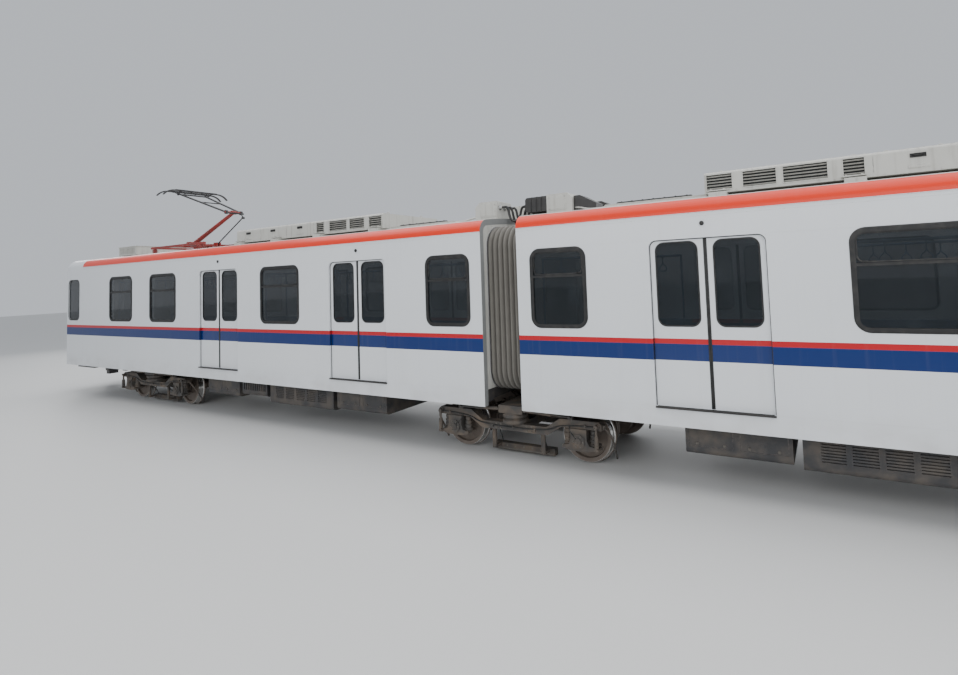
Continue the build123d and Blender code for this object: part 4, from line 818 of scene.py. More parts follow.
def doorwayFittings():
    fit = {"sealBand": 0.009, "sealY": 1.2925, "sealDepth": 0.004, "below": 0.30, "corner": 0.09, "ribs": 5}
    top = car["doorTopZ"] - 0.0006
    high = top - car["floorZ"] + fit["below"]
    seal = roundedRing(
        "seal", car["doorWidth"] - 0.0012, high, fit["corner"], fit["sealBand"], fit["sealDepth"]
    )
    seal.data.transform(shift(0, -fit["sealY"], top - high / 2))
    takeUp(seal)
    bpy.ops.object.mode_set(mode="EDIT")
    bpy.ops.mesh.select_all(action="SELECT")
    bpy.ops.mesh.bisect(
        plane_co=(0, 0, car["floorZ"] + 0.001), plane_no=(0, 0, 1), use_fill=True, clear_inner=True
    )
    bpy.ops.object.mode_set(mode="OBJECT")
    roundEdges(seal, 0.0012, 2)
    half = car["doorWidth"] / 2 - 0.02
    parts = [seal]
    for rib in range(fit["ribs"]):
        y = -1.3455 + rib * 0.0095
        parts.append(roundEdges(newBox("rib", (-half, y, 1.0285), (half, y + 0.0045, 1.0325)), 0.0012, 2))
    pattern = joined("doorway", parts)
    moves = [shift(near + car["doorWidth"] / 2) for near in car["doorways"]]
    onBothSections(repeated("doorway", pattern, moves), "doorwaySeal", "window_rubber", blackTrim)


def windowSashes():
    sash = {
        "footZ": 2.668, "topZ": 2.984, "band": 0.017, "corner": 0.078, "proud": 0.007, "paneY": 1.3158,
        "lip": 0.024,
    }
    parts = []
    for near, width in car["windows"]:
        middle = near + width / 2
        ring = roundedRing(
            "sash", width - 0.066, sash["topZ"] - sash["footZ"], sash["corner"], sash["band"], sash["proud"]
        )
        ring.data.transform(shift(middle, -sash["paneY"], (sash["footZ"] + sash["topZ"]) / 2))
        parts.append(roundEdges(ring, 0.002, 2))
        high = car["windowTopZ"] - car["windowFootZ"] + 2 * sash["lip"]
        ring = roundedRing("lip", width + 2 * sash["lip"], high, 0.155, sash["lip"] + 0.012, 0.0038)
        ring.data.transform(shift(middle, -car["wallY"], (car["windowFootZ"] + car["windowTopZ"]) / 2))
        parts.append(roundEdges(ring, 0.0016, 2))
        for side in (-1, 1):
            x = middle + side * (width / 2 - 0.12)
            latch = newBox("latch", (x - 0.022, -1.329, 2.672), (x + 0.022, -1.3158, 2.690))
            shape(latch, facing(y=-1), ("inset", 0.004), ("push", (0, -0.004, 0)))
            parts.append(roundEdges(latch, 0.002, 2))
    onBothSections(joined("sashes", parts), "windowSash", "window_rubber", blackTrim)


def gutters():
    gutter = {"z": 3.3385, "height": 0.0085, "proud": 0.007, "start": 0.3105, "end": 12.9490}
    strip = newBox(
        "gutter",
        (gutter["start"], -car["wallY"] - gutter["proud"], gutter["z"]),
        (gutter["end"], -car["wallY"] + 0.002, gutter["z"] + gutter["height"]),
    )
    shape(strip, facing(z=1), ("inset", 0.0018), ("push", (0, 0, -0.004)))
    roundEdges(strip, 0.001, 2)
    onBothSections(strip, "gutter", "body_white")


doorwayFittings()
windowSashes()
gutters()
print("doorways, windows and gutters trimmed")


# Roof: lids, grille rims, feet, lifting eyes and conduits on the long housing

def coolingUnitTrim():
    unit = {
        "halfY": 0.750, "topZ": 3.900, "end": 7.200, "seams": (4.686, 5.526, 6.366), "lid": 0.020,
        "field": 0.006,
    }
    parts = []
    starts = [2.835, *unit["seams"]]
    for start, end in zip(starts, [*[x - 0.012 for x in unit["seams"]], unit["end"] - 0.005]):
        lid = newPlate(
            "lid",
            (start + unit["lid"], -unit["halfY"] + 0.045, unit["topZ"] - 0.001),
            (end - unit["lid"], unit["halfY"] - 0.045, unit["topZ"] + 0.005),
            0.07, unit["field"], (0, 0, 1),
        )
        parts.append(lid)
        across = along((start + 0.06, 0, 0), (end - 0.06, 0, 0), 6)
        for y in (-0.675, 0.675):
            parts.append(
                bolted("lidBolts", [(x, y, unit["topZ"] + 0.005) for x, _, _ in across], (0, 0, 1), 0.010)
            )
        for x in (start + 0.16, end - 0.16):
            for y in (-0.45, 0.45):
                eye = newPipe(
                    "eye",
                    [
                        (x - 0.035, y, 3.905), (x - 0.03, y, 3.955), (x + 0.03, y, 3.955),
                        (x + 0.035, y, 3.905),
                    ],
                    0.007,
                )
                parts.append(eye)
    onBothSections(joined("lids", parts), "roofUnitLids", "roof_gear_paint", sides=False)
    rims = []
    for near, far in ((2.860, 3.170), (3.300, 3.680), (3.760, 4.230), (4.390, 4.600)):
        ring = roundedRing("rim", far - near + 0.026, 0.216, 0.010, 0.014, 0.005)
        ring.data.transform(shift((near + far) / 2, -unit["halfY"], 3.765))
        rims.append(roundEdges(ring, 0.0015, 2))
    for near in (3.0, 4.5, 5.8, 7.05):
        foot = newPlate(
            "foot", (near - 0.135, -0.812, 3.648), (near + 0.110, -0.748, 3.662), 0.012, 0.003, (0, 0, 1),
            0.0015,
        )
        rims += [
            foot, bolted("footBolts", [(near + x, -0.785, 3.665) for x in (-0.09, 0.07)], (0, 0, 1), 0.012)
        ]
    for x in (5.10, 5.95, 6.78):
        rims.append(
            newPlate(
                "seamCover", (x - 0.10, -0.753, 3.672), (x + 0.10, -0.749, 3.712), 0.008, 0.002, (0, -1, 0),
                0.001,
            )
        )
    rims.append(
        bolted(
            "baseBolts", [(x, -0.750, 3.644) for x in (3.22, 3.72, 4.30, 4.78, 5.30, 5.62, 6.20, 6.60)],
            (0, -1, 0), 0.009,
        )
    )
    onBothSections(joined("rims", rims), "roofUnitTrim", "roof_gear_paint")
    grips = []
    for x in (5.10, 5.95, 6.78):
        grip = newBox("grip", (x - 0.075, -0.758, 3.790), (x + 0.075, -0.749, 3.836))
        shape(grip, facing(y=-1), ("inset", 0.008), ("push", (0, 0.0065, 0)))
        bar = newPipe(
            "bar",
            [
                (x - 0.05, -0.751, 3.813), (x - 0.045, -0.774, 3.813), (x + 0.045, -0.774, 3.813),
                (x + 0.05, -0.751, 3.813),
            ],
            0.005,
        )
        grips += [roundEdges(grip, 0.0015, 2), bar]
    onBothSections(joined("grips", grips), "roofUnitGrips", "window_rubber", blackTrim)


def roofConduits():
    run = {"end": 2.86, "radius": 0.013, "places": ((0.600, 3.606), (0.640, 3.603)), "clamps": 5}
    parts = []
    for y, z in run["places"]:
        parts.append(
            newPipe(
                "conduit",
                [
                    (0.878, -y + 0.09, z + 0.06), (0.98, -y + 0.08, z + 0.055), (1.14, -y, z), (1.35, -y, z),
                    (2.5, -y, z), (run["end"], -y, z),
                ],
                run["radius"],
            )
        )
    for x, _, _ in along((1.42, 0, 0), (2.66, 0, 0), run["clamps"]):
        clamp = newBox("clamp", (x - 0.014, -0.664, 3.578), (x + 0.014, -0.576, 3.612))
        shape(clamp, facing(z=1), ("inset", 0.004), ("push", (0, 0, 0.009)))
        parts += [roundEdges(clamp, 0.003, 2), newBolt("clampBolt", (x, -0.620, 3.621), (0, 0, 1), 0.008)]
    onBothSections(joined("conduits", parts), "roofConduits", "roof_gear_paint")
    rail = [newBox("rail", (1.55, -0.548, 3.655), (2.62, -0.500, 3.668))]
    shape(rail[0], facing(z=1), ("inset", 0.008), ("push", (0, 0, 0.006)))
    roundEdges(rail[0], 0.002, 2)
    rail.append(bolted("railBolts", along((1.62, -0.524, 3.674), (2.55, -0.524, 3.674), 7), (0, 0, 1), 0.010))
    onBothSections(joined("rail", rail), "ductRail", "window_rubber", blackTrim)


def junctionBoxTrim():
    parts = []
    box = {"y": -0.410, "topZ": 3.894, "near": 0.478, "far": 0.782}
    parts.append(
        newPlate(
            "junctionLid", (0.468, box["y"] - 0.195, 3.889), (0.785, box["y"] + 0.195, box["topZ"]),
            0.03, 0.004, (0, 0, 1), 0.0015,
        )
    )
    places = [(x, box["y"] + side * 0.180, box["topZ"]) for x in (0.49, 0.625, 0.765) for side in (-1, 1)]
    parts.append(bolted("junctionBolts", places, (0, 0, 1), 0.008))
    low, high = (box["near"], -0.624, 3.640), (box["far"], -0.619, 3.862)
    parts.append(newPlate("junctionDoor", low, high, 0.020, 0.003, (0, -1, 0), 0.0012))
    places = [(x, -0.626, z) for x in (0.50, 0.76) for z in (3.665, 3.84)]
    parts.append(bolted("doorBolts", places, (0, -1, 0), 0.006))
    onBothSections(joined("junctions", parts), "junctionTrim", "roof_gear_paint")
    # section b's sockets: ribs round the housing and a collar for each cable
    socket = []
    for x in (0.16, 0.25, 0.34):
        rib = roundedRing("rib", 0.386, 0.246, 0.04, 0.012, 0.016)
        rib.data.transform(Matrix.Rotation(pi / 2, 4, "Z"))
        rib.data.transform(shift(x, -0.415, 3.765))
        socket.append(roundEdges(rib, 0.002, 2))
    for y in (0.290, 0.415, 0.540):
        collar = newTube("collar", (0.0615, -y, 3.760), (0.030, -y, 3.760), 0.031, 20)
        shape(collar, facing(x=-1), ("inset", 0.006), ("push", (-0.014, 0, 0)))
        socket.append(roundEdges(collar, 0.002, 2))
    give(bothSides("socketTrim", socket), "section_b", "roof_gear_paint", blackTrim)
    nuts = []
    for y in (0.290, 0.415, 0.540):
        nut = newTube("nut", (-0.452, -y, 3.790), (-0.425, -y, 3.790), 0.042, 6)
        shape(nut, facing(x=1), ("inset", 0.005), ("push", (0.006, 0, 0)))
        nuts.append(roundEdges(nut, 0.002, 2))
    give(bothSides("glandNuts", nuts), "section_a", "roof_gear_paint", brightTrim)


def jumperCables():
    cable = {"radius": 0.019, "turnDown": (-0.300, 3.790), "level": (-0.040, 3.760)}
    loop = ((-0.262, 3.585), (-0.215, 3.540), (-0.170, 3.528), (-0.125, 3.540), (-0.078, 3.585))
    parts = []
    for y, drop in ((0.290, 0.0), (0.415, -0.018), (0.540, 0.012)):
        points = [
            (-0.3997, -y, 3.790), (-0.370, -y, 3.790), (*cable["turnDown"][:1], -y, cable["turnDown"][1]),
            *[(x, -y, z + drop) for x, z in loop],
            (cable["level"][0], -y, cable["level"][1]), (0.030, -y, 3.760), (0.0597, -y, 3.760),
        ]
        parts.append(newPipe("cable", points, cable["radius"], 5))
    piece = bothSides("jumperCables", parts)
    clad(piece, cableSkin, 50)
    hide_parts("jumper_cables")
    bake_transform(piece)


coolingUnitTrim()
roofConduits()
junctionBoxTrim()
jumperCables()
print("roof fitted out")


# Bogies: caps, dampers, pipes, sanding tubes, brake gear and motor rings

bogiePlaces = (("bogie_a", -car["bogiePlace"]), ("bogie_middle", 0.0), ("bogie_b", car["bogiePlace"]))


def onBogies(parts, name, slot, material=None, bodies=bogiePlaces):
    pattern = joined(name, parts)
    for body, place in bodies:
        piece = joined(
            f"{name}_{body}", [moved(pattern, shift(place)), moved(pattern, shift(place) @ mirrorY)]
        )
        give(piece, body, slot, material)
    bpy.data.objects.remove(pattern)


def newDamper(name, foot, top, radius):  # eyes at the ends, a casing and a thinner rod
    foot, top = Vector(foot), Vector(top)
    middle = foot.lerp(top, 0.58)
    line = (top - foot).normalized()
    casing = newTube(name, foot + line * radius * 0.9, middle, radius, 20)
    shape(casing, facing(*line), ("inset", radius * 0.2), ("push", tuple(line * radius * 0.4)))
    rod = newTube("rod", middle, top, radius * 0.55, 14)
    parts = [roundEdges(casing, radius * 0.12, 2), rod]
    for end in (foot, top):
        eye = newTube(
            "eye", end + Vector((0, radius * 0.9, 0)), end - Vector((0, radius * 0.9, 0)), radius * 0.85, 18
        )
        shape(eye, facing(y=-1), ("inset", radius * 0.3), ("push", (0, radius * 0.15, 0)))
        parts.append(roundEdges(eye, radius * 0.1, 1))
    return joined(name, parts)


def bogieFittings():
    fit = {"axle": car["halfWheelbase"], "capY": -1.115, "capBolts": 6, "frameY": -1.070}
    parts, hoses, bright = [], [], []
    for end in (-1, 1):
        axle = end * fit["axle"]
        turns = [2 * pi * step / fit["capBolts"] for step in range(fit["capBolts"])]
        places = [(axle + 0.072 * cos(turn), fit["capY"], car["axleZ"] + 0.072 * sin(turn)) for turn in turns]
        bright.append(bolted("capBolts", places, (0, -1, 0), 0.010))
        cover = newTube(
            "cover", (axle, fit["capY"] + 0.002, car["axleZ"]), (axle, fit["capY"] - 0.012, car["axleZ"]),
            0.048, 28,
        )
        shape(
            cover, facing(y=-1), ("inset", 0.010), ("push", (0, -0.006, 0)), ("inset", 0.012),
            ("push", (0, 0.004, 0)),
        )
        parts.append(roundEdges(cover, 0.002, 2))
        parts.append(newDamper("damper", (end * 1.318, -1.108, 0.318), (end * 1.318, -1.108, 0.618), 0.030))
        bracket = newPlate(
            "bracket", (end * 1.318 - 0.03, -1.085, 0.585), (end * 1.318 + 0.03, -1.066, 0.650), 0.006, 0.002,
            (0, -1, 0),
        )
        foot = newPlate(
            "foot", (end * 1.318 - 0.028, -1.102, 0.285), (end * 1.318 + 0.024, -0.95, 0.318), 0.006, 0.002,
            (0, 0, -1),
        )
        parts += [bracket, foot]
        tube = [
            (end * 1.372, -1.0, 0.60), (end * 1.46, -0.99, 0.53), (end * 1.478, -0.86, 0.35),
            (end * 1.462, -0.745, 0.11),
        ]
        parts.append(newPipe("sanding", tube, 0.015, 3))
        holder = newPlate(
            "holder", (end * 1.36 - 0.02, -1.03, 0.575), (end * 1.36 + 0.045, -0.97, 0.625), 0.006, 0.002,
            (0, -1, 0),
        )
        parts.append(holder)
        hoses.append(
            newPipe(
                "hose",
                [
                    (end * 0.90, -1.078, 0.60), (end * 0.93, -1.098, 0.50), (end * 1.00, -1.118, 0.46),
                    (end * 1.02, -1.120, 0.43),
                ],
                0.008,
            )
        )
        parts.append(newDamper("yawDamper", (end * 0.235, -1.118, 0.742), (end * 0.93, -1.098, 0.708), 0.026))
        stay = newPlate(
            "stay", (end * 0.93 - 0.035, -1.090, 0.668), (end * 0.93 + 0.035, -1.02, 0.722), 0.006, 0.002,
            (0, -1, 0),
        )
        parts.append(stay)
    pipe = [
        (-1.34, -1.079, 0.605), (-0.78, -1.079, 0.605), (-0.58, -1.079, 0.475), (0.58, -1.079, 0.475),
        (0.78, -1.079, 0.605), (1.34, -1.079, 0.605),
    ]
    hoses.append(newPipe("airPipe", pipe, 0.009, 3))
    for x, z in ((-1.15, 0.605), (-0.36, 0.475), (0.0, 0.475), (0.36, 0.475), (1.15, 0.605)):
        clip = newPlate(
            "clip", (x - 0.012, -1.092, z - 0.020), (x + 0.012, -1.068, z + 0.020), 0.004, 0.002, (0, -1, 0),
            0.0015,
        )
        parts.append(clip)
    bright.append(
        bolted(
            "frameBolts", [(x, fit["frameY"], z) for x in (-0.30, -0.22, 0.22, 0.30) for z in (0.445, 0.505)],
            (0, -1, 0), 0.011,
        )
    )
    bright.append(
        bolted("shoeBolts", along((-0.44, -0.800, 0.105), (0.44, -0.800, 0.105), 7), (0, -1, 0), 0.010)
    )
    shoe = newPlate("shoe", (-0.500, -0.803, 0.046), (0.500, -0.697, 0.070), 0.012, 0.004, (0, 0, -1))
    bright.append(shoe)
    for x in (-0.42, 0.42):
        bright.append(bolted("hangerBolts", [(x, -0.960, 0.13), (x, -0.960, 0.40)], (0, -1, 0), 0.012))
        hoses.append(
            newPipe(
                "brakeLead",
                [
                    (x * 0.8, -0.935, 0.43), (x * 0.85, -0.88, 0.33), (x * 0.9, -0.80, 0.24),
                    (x * 0.9, -0.775, 0.135),
                ],
                0.009,
            )
        )
    onBogies(parts, "bogieFittings", "bogie_paint")
    onBogies(hoses, "bogieHoses", "window_rubber", cableSkin)
    onBogies(bright, "bogieBolts", "wheel_steel", dullSteel)


def brakeCalipers():  # on the trailer bogie's discs
    disc = {"y": 0.330, "bottom": 0.445, "top": 0.560}
    parts = []
    for end in (-1, 1):
        cheekX, yokeX, armX = [(end * a, end * b) for a, b in ((0.70, 0.92), (0.66, 0.735), (0.175, 0.67))]
        for y in (-disc["y"] - 0.083, -disc["y"] + 0.065):
            cheek = newPlate(
                "cheek", (min(cheekX), y, disc["bottom"]), (max(cheekX), y + 0.018, disc["top"]), 0.012,
                0.004, (0, -1, 0),
            )
            parts.append(cheek)
        yoke = newPlate(
            "yoke", (min(yokeX), -0.425, 0.455), (max(yokeX), -0.240, 0.552), 0.012, 0.006, (0, 0, 1)
        )
        arm = newPlate("arm", (min(armX), -0.375, 0.470), (max(armX), -0.290, 0.535), 0.012, 0.005, (0, 0, 1))
        cylinder = newTube("cylinder", (end * 0.60, -0.425, 0.505), (end * 0.60, -0.500, 0.505), 0.052, 24)
        shape(cylinder, facing(y=-1), ("inset", 0.010), ("push", (0, -0.012, 0)))
        parts += [yoke, arm, roundEdges(cylinder, 0.004, 2)]
    onBogies(parts, "calipers", "bogie_paint", bodies=bogiePlaces[1:2])


def motorTrim():
    motor = {"x": 0.470, "z": 0.438, "radius": 0.2155}
    for body, place in (bogiePlaces[0], bogiePlaces[2]):
        parts = []
        for end in (-1, 1):
            x = place + end * motor["x"]
            for y in (-0.33, -0.20, -0.07, 0.06, 0.19):
                ring = newTube(
                    "ring", (x, y - 0.008, motor["z"]), (x, y + 0.008, motor["z"]), motor["radius"] + 0.007,
                    40,
                )
                parts.append(roundEdges(ring, 0.003, 2))
            turns = [2 * pi * step / 8 for step in range(8)]
            places = [(x + 0.165 * cos(turn), -0.430, motor["z"] + 0.165 * sin(turn)) for turn in turns]
            parts.append(bolted("motorBolts", places, (0, -1, 0), 0.012))
            box = newPlate(
                "terminals", (x - 0.09, -0.26, 0.62), (x + 0.09, -0.06, 0.668), 0.014, 0.005, (0, 0, 1)
            )
            parts.append(box)
        give(joined(f"motorTrim_{body}", parts), body, "bogie_paint")


def underfloorTrim():
    boxes = {
        "faceY": -1.080,
        "doors": ((2.5, 3.7, 0.42), (6.6, 7.7, 0.42)),  # near, far, foot
        "spans": ((2.5, 3.7), (3.8, 5.6), (5.7, 6.5), (6.6, 7.7)),
        "hingeZ": 0.838,
        "pipeZ": 0.836,
        "pipes": (-1.158, -1.192),
    }
    face, hingeZ = boxes["faceY"], boxes["hingeZ"]
    parts, bright = [], []
    for near, far, foot in boxes["doors"]:
        for quarter in (0.25, 0.75):
            x = near + (far - near) * quarter
            for at in (x - 0.16, x + 0.16):
                latch = newTube(
                    "latch", (at, face + 0.001, foot + 0.135), (at, face - 0.007, foot + 0.135), 0.019, 22
                )
                shape(latch, facing(y=-1), ("inset", 0.004), ("push", (0, 0.003, 0)))
                bar = newBox(
                    "bar", (at - 0.004, face - 0.009, foot + 0.122), (at + 0.004, face - 0.003, foot + 0.148)
                )
                bright += [roundEdges(latch, 0.001, 1), roundEdges(bar, 0.001, 1)]
                hinge = newTube(
                    "hinge", (at - 0.035, face - 0.006, hingeZ), (at + 0.035, face - 0.006, hingeZ), 0.008, 12
                )
                shape(hinge, facing(x=1), ("inset", 0.002), ("push", (0.003, 0, 0)))
                leaf = newPlate(
                    "leaf", (at - 0.03, face - 0.003, 0.80), (at + 0.03, face + 0.001, hingeZ), 0.003, 0.001,
                    (0, -1, 0), 0.0008,
                )
                parts += [hinge, leaf]
    for near, far in boxes["spans"]:
        for x in (near + 0.10, (near + far) / 2, far - 0.10):
            hanger = newPlate(
                "hanger", (x - 0.035, -1.128, 0.800), (x + 0.035, -1.078, 0.856), 0.008, 0.003, (0, -1, 0)
            )
            bright.append(newBolt("hangerBolt", (x, -1.131, 0.828), (0, -1, 0), 0.013))
            parts.append(hanger)
    z = boxes["pipeZ"]
    for y in boxes["pipes"]:
        run = [(1.75, y, z + 0.012), *[(x, y, z) for x in (1.9, 3.0, 7.0, 8.1)], (8.25, y, z + 0.012)]
        parts.append(newPipe("sillPipe", run, 0.011))
    for x, _, _ in along((2.0, 0, 0), (8.0, 0, 0), 11):
        clamp = newPlate(
            "clamp", (x - 0.012, -1.212, 0.820), (x + 0.012, -1.138, 0.852), 0.004, 0.002, (0, 0, -1), 0.002
        )
        parts.append(clamp)
    onBothSections(joined("fittings", parts), "underfloorTrim", "underframe_paint")
    onBothSections(joined("latches", bright), "underfloorLatches", "wheel_steel", dullSteel)


bogieFittings()
brakeCalipers()
motorTrim()
underfloorTrim()
print("running gear fitted out")


# Cab: gaskets, wipers, lamp rims, a blank indicator, rails, hoses

def onRake():  # carries a ring in the xz plane onto the raked windscreen, its back on the glass
    low, high = Vector((14.300, 0, 1.900)), Vector((13.960, 0, 3.200))
    up = (high - low).normalized()
    out = Vector((up.z, 0, -up.x))
    turn = Matrix(((0, -out.x, up.x), (1, -out.y, up.y), (0, -out.z, up.z))).to_4x4()
    middle = low.lerp(high, ((1.990 + 3.120) / 2 - low.z) / (high.z - low.z))
    return Matrix.Translation(middle) @ turn


def cabTrim():
    cab = {
        "paneWidth": 0.925, "paneHeight": 1.168, "paneY": 0.4975, "corner": 0.09, "noseX": 14.300,
        "railY": 0.900, "lampY": (0.605, 0.835), "lampZ": 1.300,
    }
    rake = onRake()
    black, bright = [], []
    for y in (-cab["paneY"], cab["paneY"]):
        ring = roundedRing(
            "gasket", cab["paneWidth"] + 0.034, cab["paneHeight"] + 0.034, cab["corner"] + 0.017, 0.034, 0.007
        )
        roundEdges(ring, 0.0025, 2)
        ring.data.transform(rake @ shift(y, 0.002, 0))
        black.append(ring)
        # wiper: a pivot, an arm and a blade that lies along the pane's foot
        pivot = newTube("pivot", (y, 0.012, -0.640), (y, -0.030, -0.640), 0.024, 24)
        shape(pivot, facing(y=-1), ("inset", 0.006), ("push", (0, -0.008, 0)))
        arm = newPipe(
            "arm",
            [
                (y, -0.024, -0.640), (y + 0.02, -0.045, -0.50), (y + 0.10, -0.040, -0.28),
                (y + 0.13, -0.028, -0.20),
            ],
            0.008,
        )
        blade = newBox("blade", (y + 0.125, -0.030, -0.46), (y + 0.141, -0.0095, 0.06))
        shape(blade, facing(y=-1), ("inset", 0.003), ("push", (0, -0.008, 0)))
        for part in (roundEdges(pivot, 0.002, 2), arm, roundEdges(blade, 0.002, 1)):
            part.data.transform(rake)
            black.append(part)
    for sign in (-1, 1):
        for lampY in cab["lampY"]:
            y = sign * lampY
            rim = newTube(
                "rim", (cab["noseX"] - 0.004, y, cab["lampZ"]), (cab["noseX"] + 0.010, y, cab["lampZ"]),
                0.108, 40,
            )
            shape(rim, facing(x=1), ("inset", 0.014), ("push", (-0.0155, 0, 0)))
            shape(rim, lambda face: abs(face.normal.x) > 0.9 and face.calc_area() > 0.02, ("remove", "FACE"))
            bright.append(roundEdges(rim, 0.002, 2))
        rail = newPipe(
            "rail",
            [
                (cab["noseX"], sign * cab["railY"], 1.480), (14.352, sign * cab["railY"], 1.490),
                (14.356, sign * cab["railY"], 1.60), (14.352, sign * cab["railY"], 1.800),
                (cab["noseX"], sign * cab["railY"], 1.815),
            ],
            0.012,
        )
        bright.append(rail)
        for z in (1.480, 1.815):
            flange = newTube(
                "flange", (14.299, sign * cab["railY"], z), (14.306, sign * cab["railY"], z), 0.026, 20
            )
            shape(flange, facing(x=1), ("inset", 0.005), ("push", (0.004, 0, 0)))
            bright.append(roundEdges(flange, 0.001, 1))
        hose = [
            (14.335, sign * 0.22, 0.720), (14.42, sign * 0.225, 0.715), (14.50, sign * 0.225, 0.62),
            (14.50, sign * 0.20, 0.50), (14.47, sign * 0.165, 0.46), (14.47, sign * 0.148, 0.46),
        ]
        black.append(newPipe("hose", hose, 0.017))
        cock = newTube("cock", (14.338, sign * 0.22, 0.720), (14.375, sign * 0.22, 0.720), 0.030, 6)
        shape(cock, facing(x=1), ("inset", 0.008), ("push", (0.012, 0, 0)))
        bright.append(roundEdges(cock, 0.003, 2))
        step = newPlate(
            "step", (14.335, sign * 0.70 - 0.13, 0.640), (14.440, sign * 0.70 + 0.13, 0.655), 0.012, 0.004,
            (0, 0, 1),
        )
        black.append(step)
    # a flap over the coupler's tools
    flap = newPlate("flap", (14.2985, -0.30, 1.02), (14.3045, 0.30, 1.46), 0.018, 0.003, (1, 0, 0), 0.002)
    onBothSections(flap, "noseFlap", "body_white", sides=False)
    onBothSections(joined("cabBlack", black), "cabRubber", "window_rubber", blackTrim, sides=False)
    onBothSections(joined("cabBright", bright), "cabBrightwork", "coupler_iron", brightTrim, sides=False)
    # cab side windows' gaskets
    ring = roundedRing("sideGasket", 0.624, 1.066, 0.132, 0.022, 0.006)
    roundEdges(ring, 0.002, 2)
    ring.data.transform(shift(13.450, -1.3245, 2.492))
    onBothSections(ring, "cabSideGasket", "window_rubber", blackTrim)
    # a blank route indicator behind the glass, and the desk's instruments
    board = newPlate("board", (13.865, -0.46, 2.925), (13.885, 0.46, 3.075), 0.020, 0.006, (1, 0, 0))
    holder = [
        board, newPlate("screenL", (13.70, -0.70, 1.862), (13.72, -0.36, 2.02), 0.014, 0.003, (-1, 0, 0))
    ]
    holder.append(newPlate("screenR", (13.70, -0.30, 1.862), (13.72, -0.04, 2.00), 0.014, 0.003, (-1, 0, 0)))
    lever = newTube("lever", (13.66, -0.86, 1.805), (13.66, -0.86, 1.95), 0.012, 14)
    knob = newTube("knob", (13.66, -0.86, 1.93), (13.66, -0.86, 1.985), 0.026, 20)
    holder += [roundEdges(lever, 0.003, 1), roundEdges(knob, 0.010, 3)]
    onBothSections(joined("desk", holder), "cabDesk", "cab_plastic", blackTrim, sides=False)


cabTrim()
print("cabs fitted out")


# Pantograph: springs, carbon, bolts, and the cable to the roof unit

def pantographTrim():
    gear = {
        "cableY": 0.340, "pots": (-8.52, -7.62), "springY": 0.225, "springZ": 3.800, "springStart": -10.255,
        "springEnd": -9.545, "turns": 24,
    }
    parts, dark = [], []
    for y in (-gear["springY"], gear["springY"]):
        length = gear["springEnd"] - gear["springStart"] - 0.10
        steps = gear["turns"] * 8
        coil = [
            (
                gear["springStart"] + 0.05 + length * step / steps, y + 0.026 * cos(2 * pi * step / 8),
                gear["springZ"] + 0.026 * sin(2 * pi * step / 8),
            )
            for step in range(steps + 1)
        ]
        dark.append(newPipe("spring", coil, 0.0055, 1))
        for x in (gear["springStart"] - 0.010, gear["springEnd"] - 0.012):
            post = newPlate(
                "post", (x, y - 0.024, 3.768), (x + 0.022, y + 0.024, 3.828), 0.006, 0.002, (0, 0, 1), 0.002
            )
            parts.append(post)
        for start, end in (
            (gear["springStart"], gear["springStart"] + 0.055), (gear["springEnd"] - 0.055, gear["springEnd"])
        ):
            hook = newPipe(
                "hook",
                [
                    (start, y, gear["springZ"]), ((start + end) / 2, y + 0.004, gear["springZ"]),
                    (end, y + 0.006, gear["springZ"]),
                ],
                0.007, 2,
            )
            dark.append(hook)
    places = [(x, y, 3.780) for x in (-11.26, -11.04, -10.6, -10.0, -9.6, -9.16, -8.94) for y in (-0.5, 0.5)]
    parts.append(bolted("railBolts", places, (0, 0, 1), 0.012))
    for x in (-11.150, -9.050):
        for y in (-0.5, 0.5):
            plate = newPlate(
                "shoe", (x - 0.075, y - 0.075, 3.578), (x + 0.075, y + 0.075, 3.606), 0.012, 0.004, (0, 0, 1)
            )
            parts += [
                plate,
                bolted(
                    "shoeBolts", [(x + a, y + b, 3.610) for a in (-0.052, 0.052) for b in (-0.052, 0.052)],
                    (0, 0, 1), 0.010,
                ),
            ]
    give(joined("pantographFittings", parts), "section_a", "panto_red")
    give(joined("pantographSprings", dark), "section_a", "panto_black", brightTrim)
    # the high-voltage cable on its two insulators, from the frame to the roof unit
    line = [
        (-9.00, 0.500, 3.796), (-8.93, 0.495, 3.800), (-8.80, 0.42, 3.782), (-8.62, 0.345, 3.762),
        (-8.30, gear["cableY"], 3.745), (-7.80, gear["cableY"], 3.765), (-7.42, gear["cableY"], 3.785),
        (-7.19, gear["cableY"], 3.790),
    ]
    lug = newPlate("lug", (-9.045, 0.470, 3.778), (-8.985, 0.530, 3.796), 0.006, 0.002, (0, 0, 1), 0.002)
    cable = [newPipe("cable", line, 0.017, 4), lug]
    for x in gear["pots"]:
        saddle = newTube("saddle", (x, gear["cableY"], 3.718), (x, gear["cableY"], 3.742), 0.030, 16)
        shape(saddle, facing(z=1), ("inset", 0.006), ("push", (0, 0, 0.006)))
        cable.append(roundEdges(saddle, 0.002, 2))
    give(joined("roofCable", cable), "section_a", "panto_black", cableSkin)
    pots = []
    for x in gear["pots"]:
        pots.append(newTube("core", (x, gear["cableY"], 3.600), (x, gear["cableY"], 3.722), 0.022, 20))
        shape(pots[-1], facing(z=1), ("inset", 0.004), ("push", (0, 0, 0.003)))
        for z in (3.622, 3.652, 3.682):
            shed = newTube("shed", (x, gear["cableY"], z), (x, gear["cableY"], z + 0.012), 0.046, 28)
            shape(shed, facing(z=1), ("inset", 0.012), ("push", (0, 0, 0.006)))
            pots.append(roundEdges(shed, 0.002, 2))
    give(joined("roofInsulators", pots), "section_a", "panto_red", ceramic)


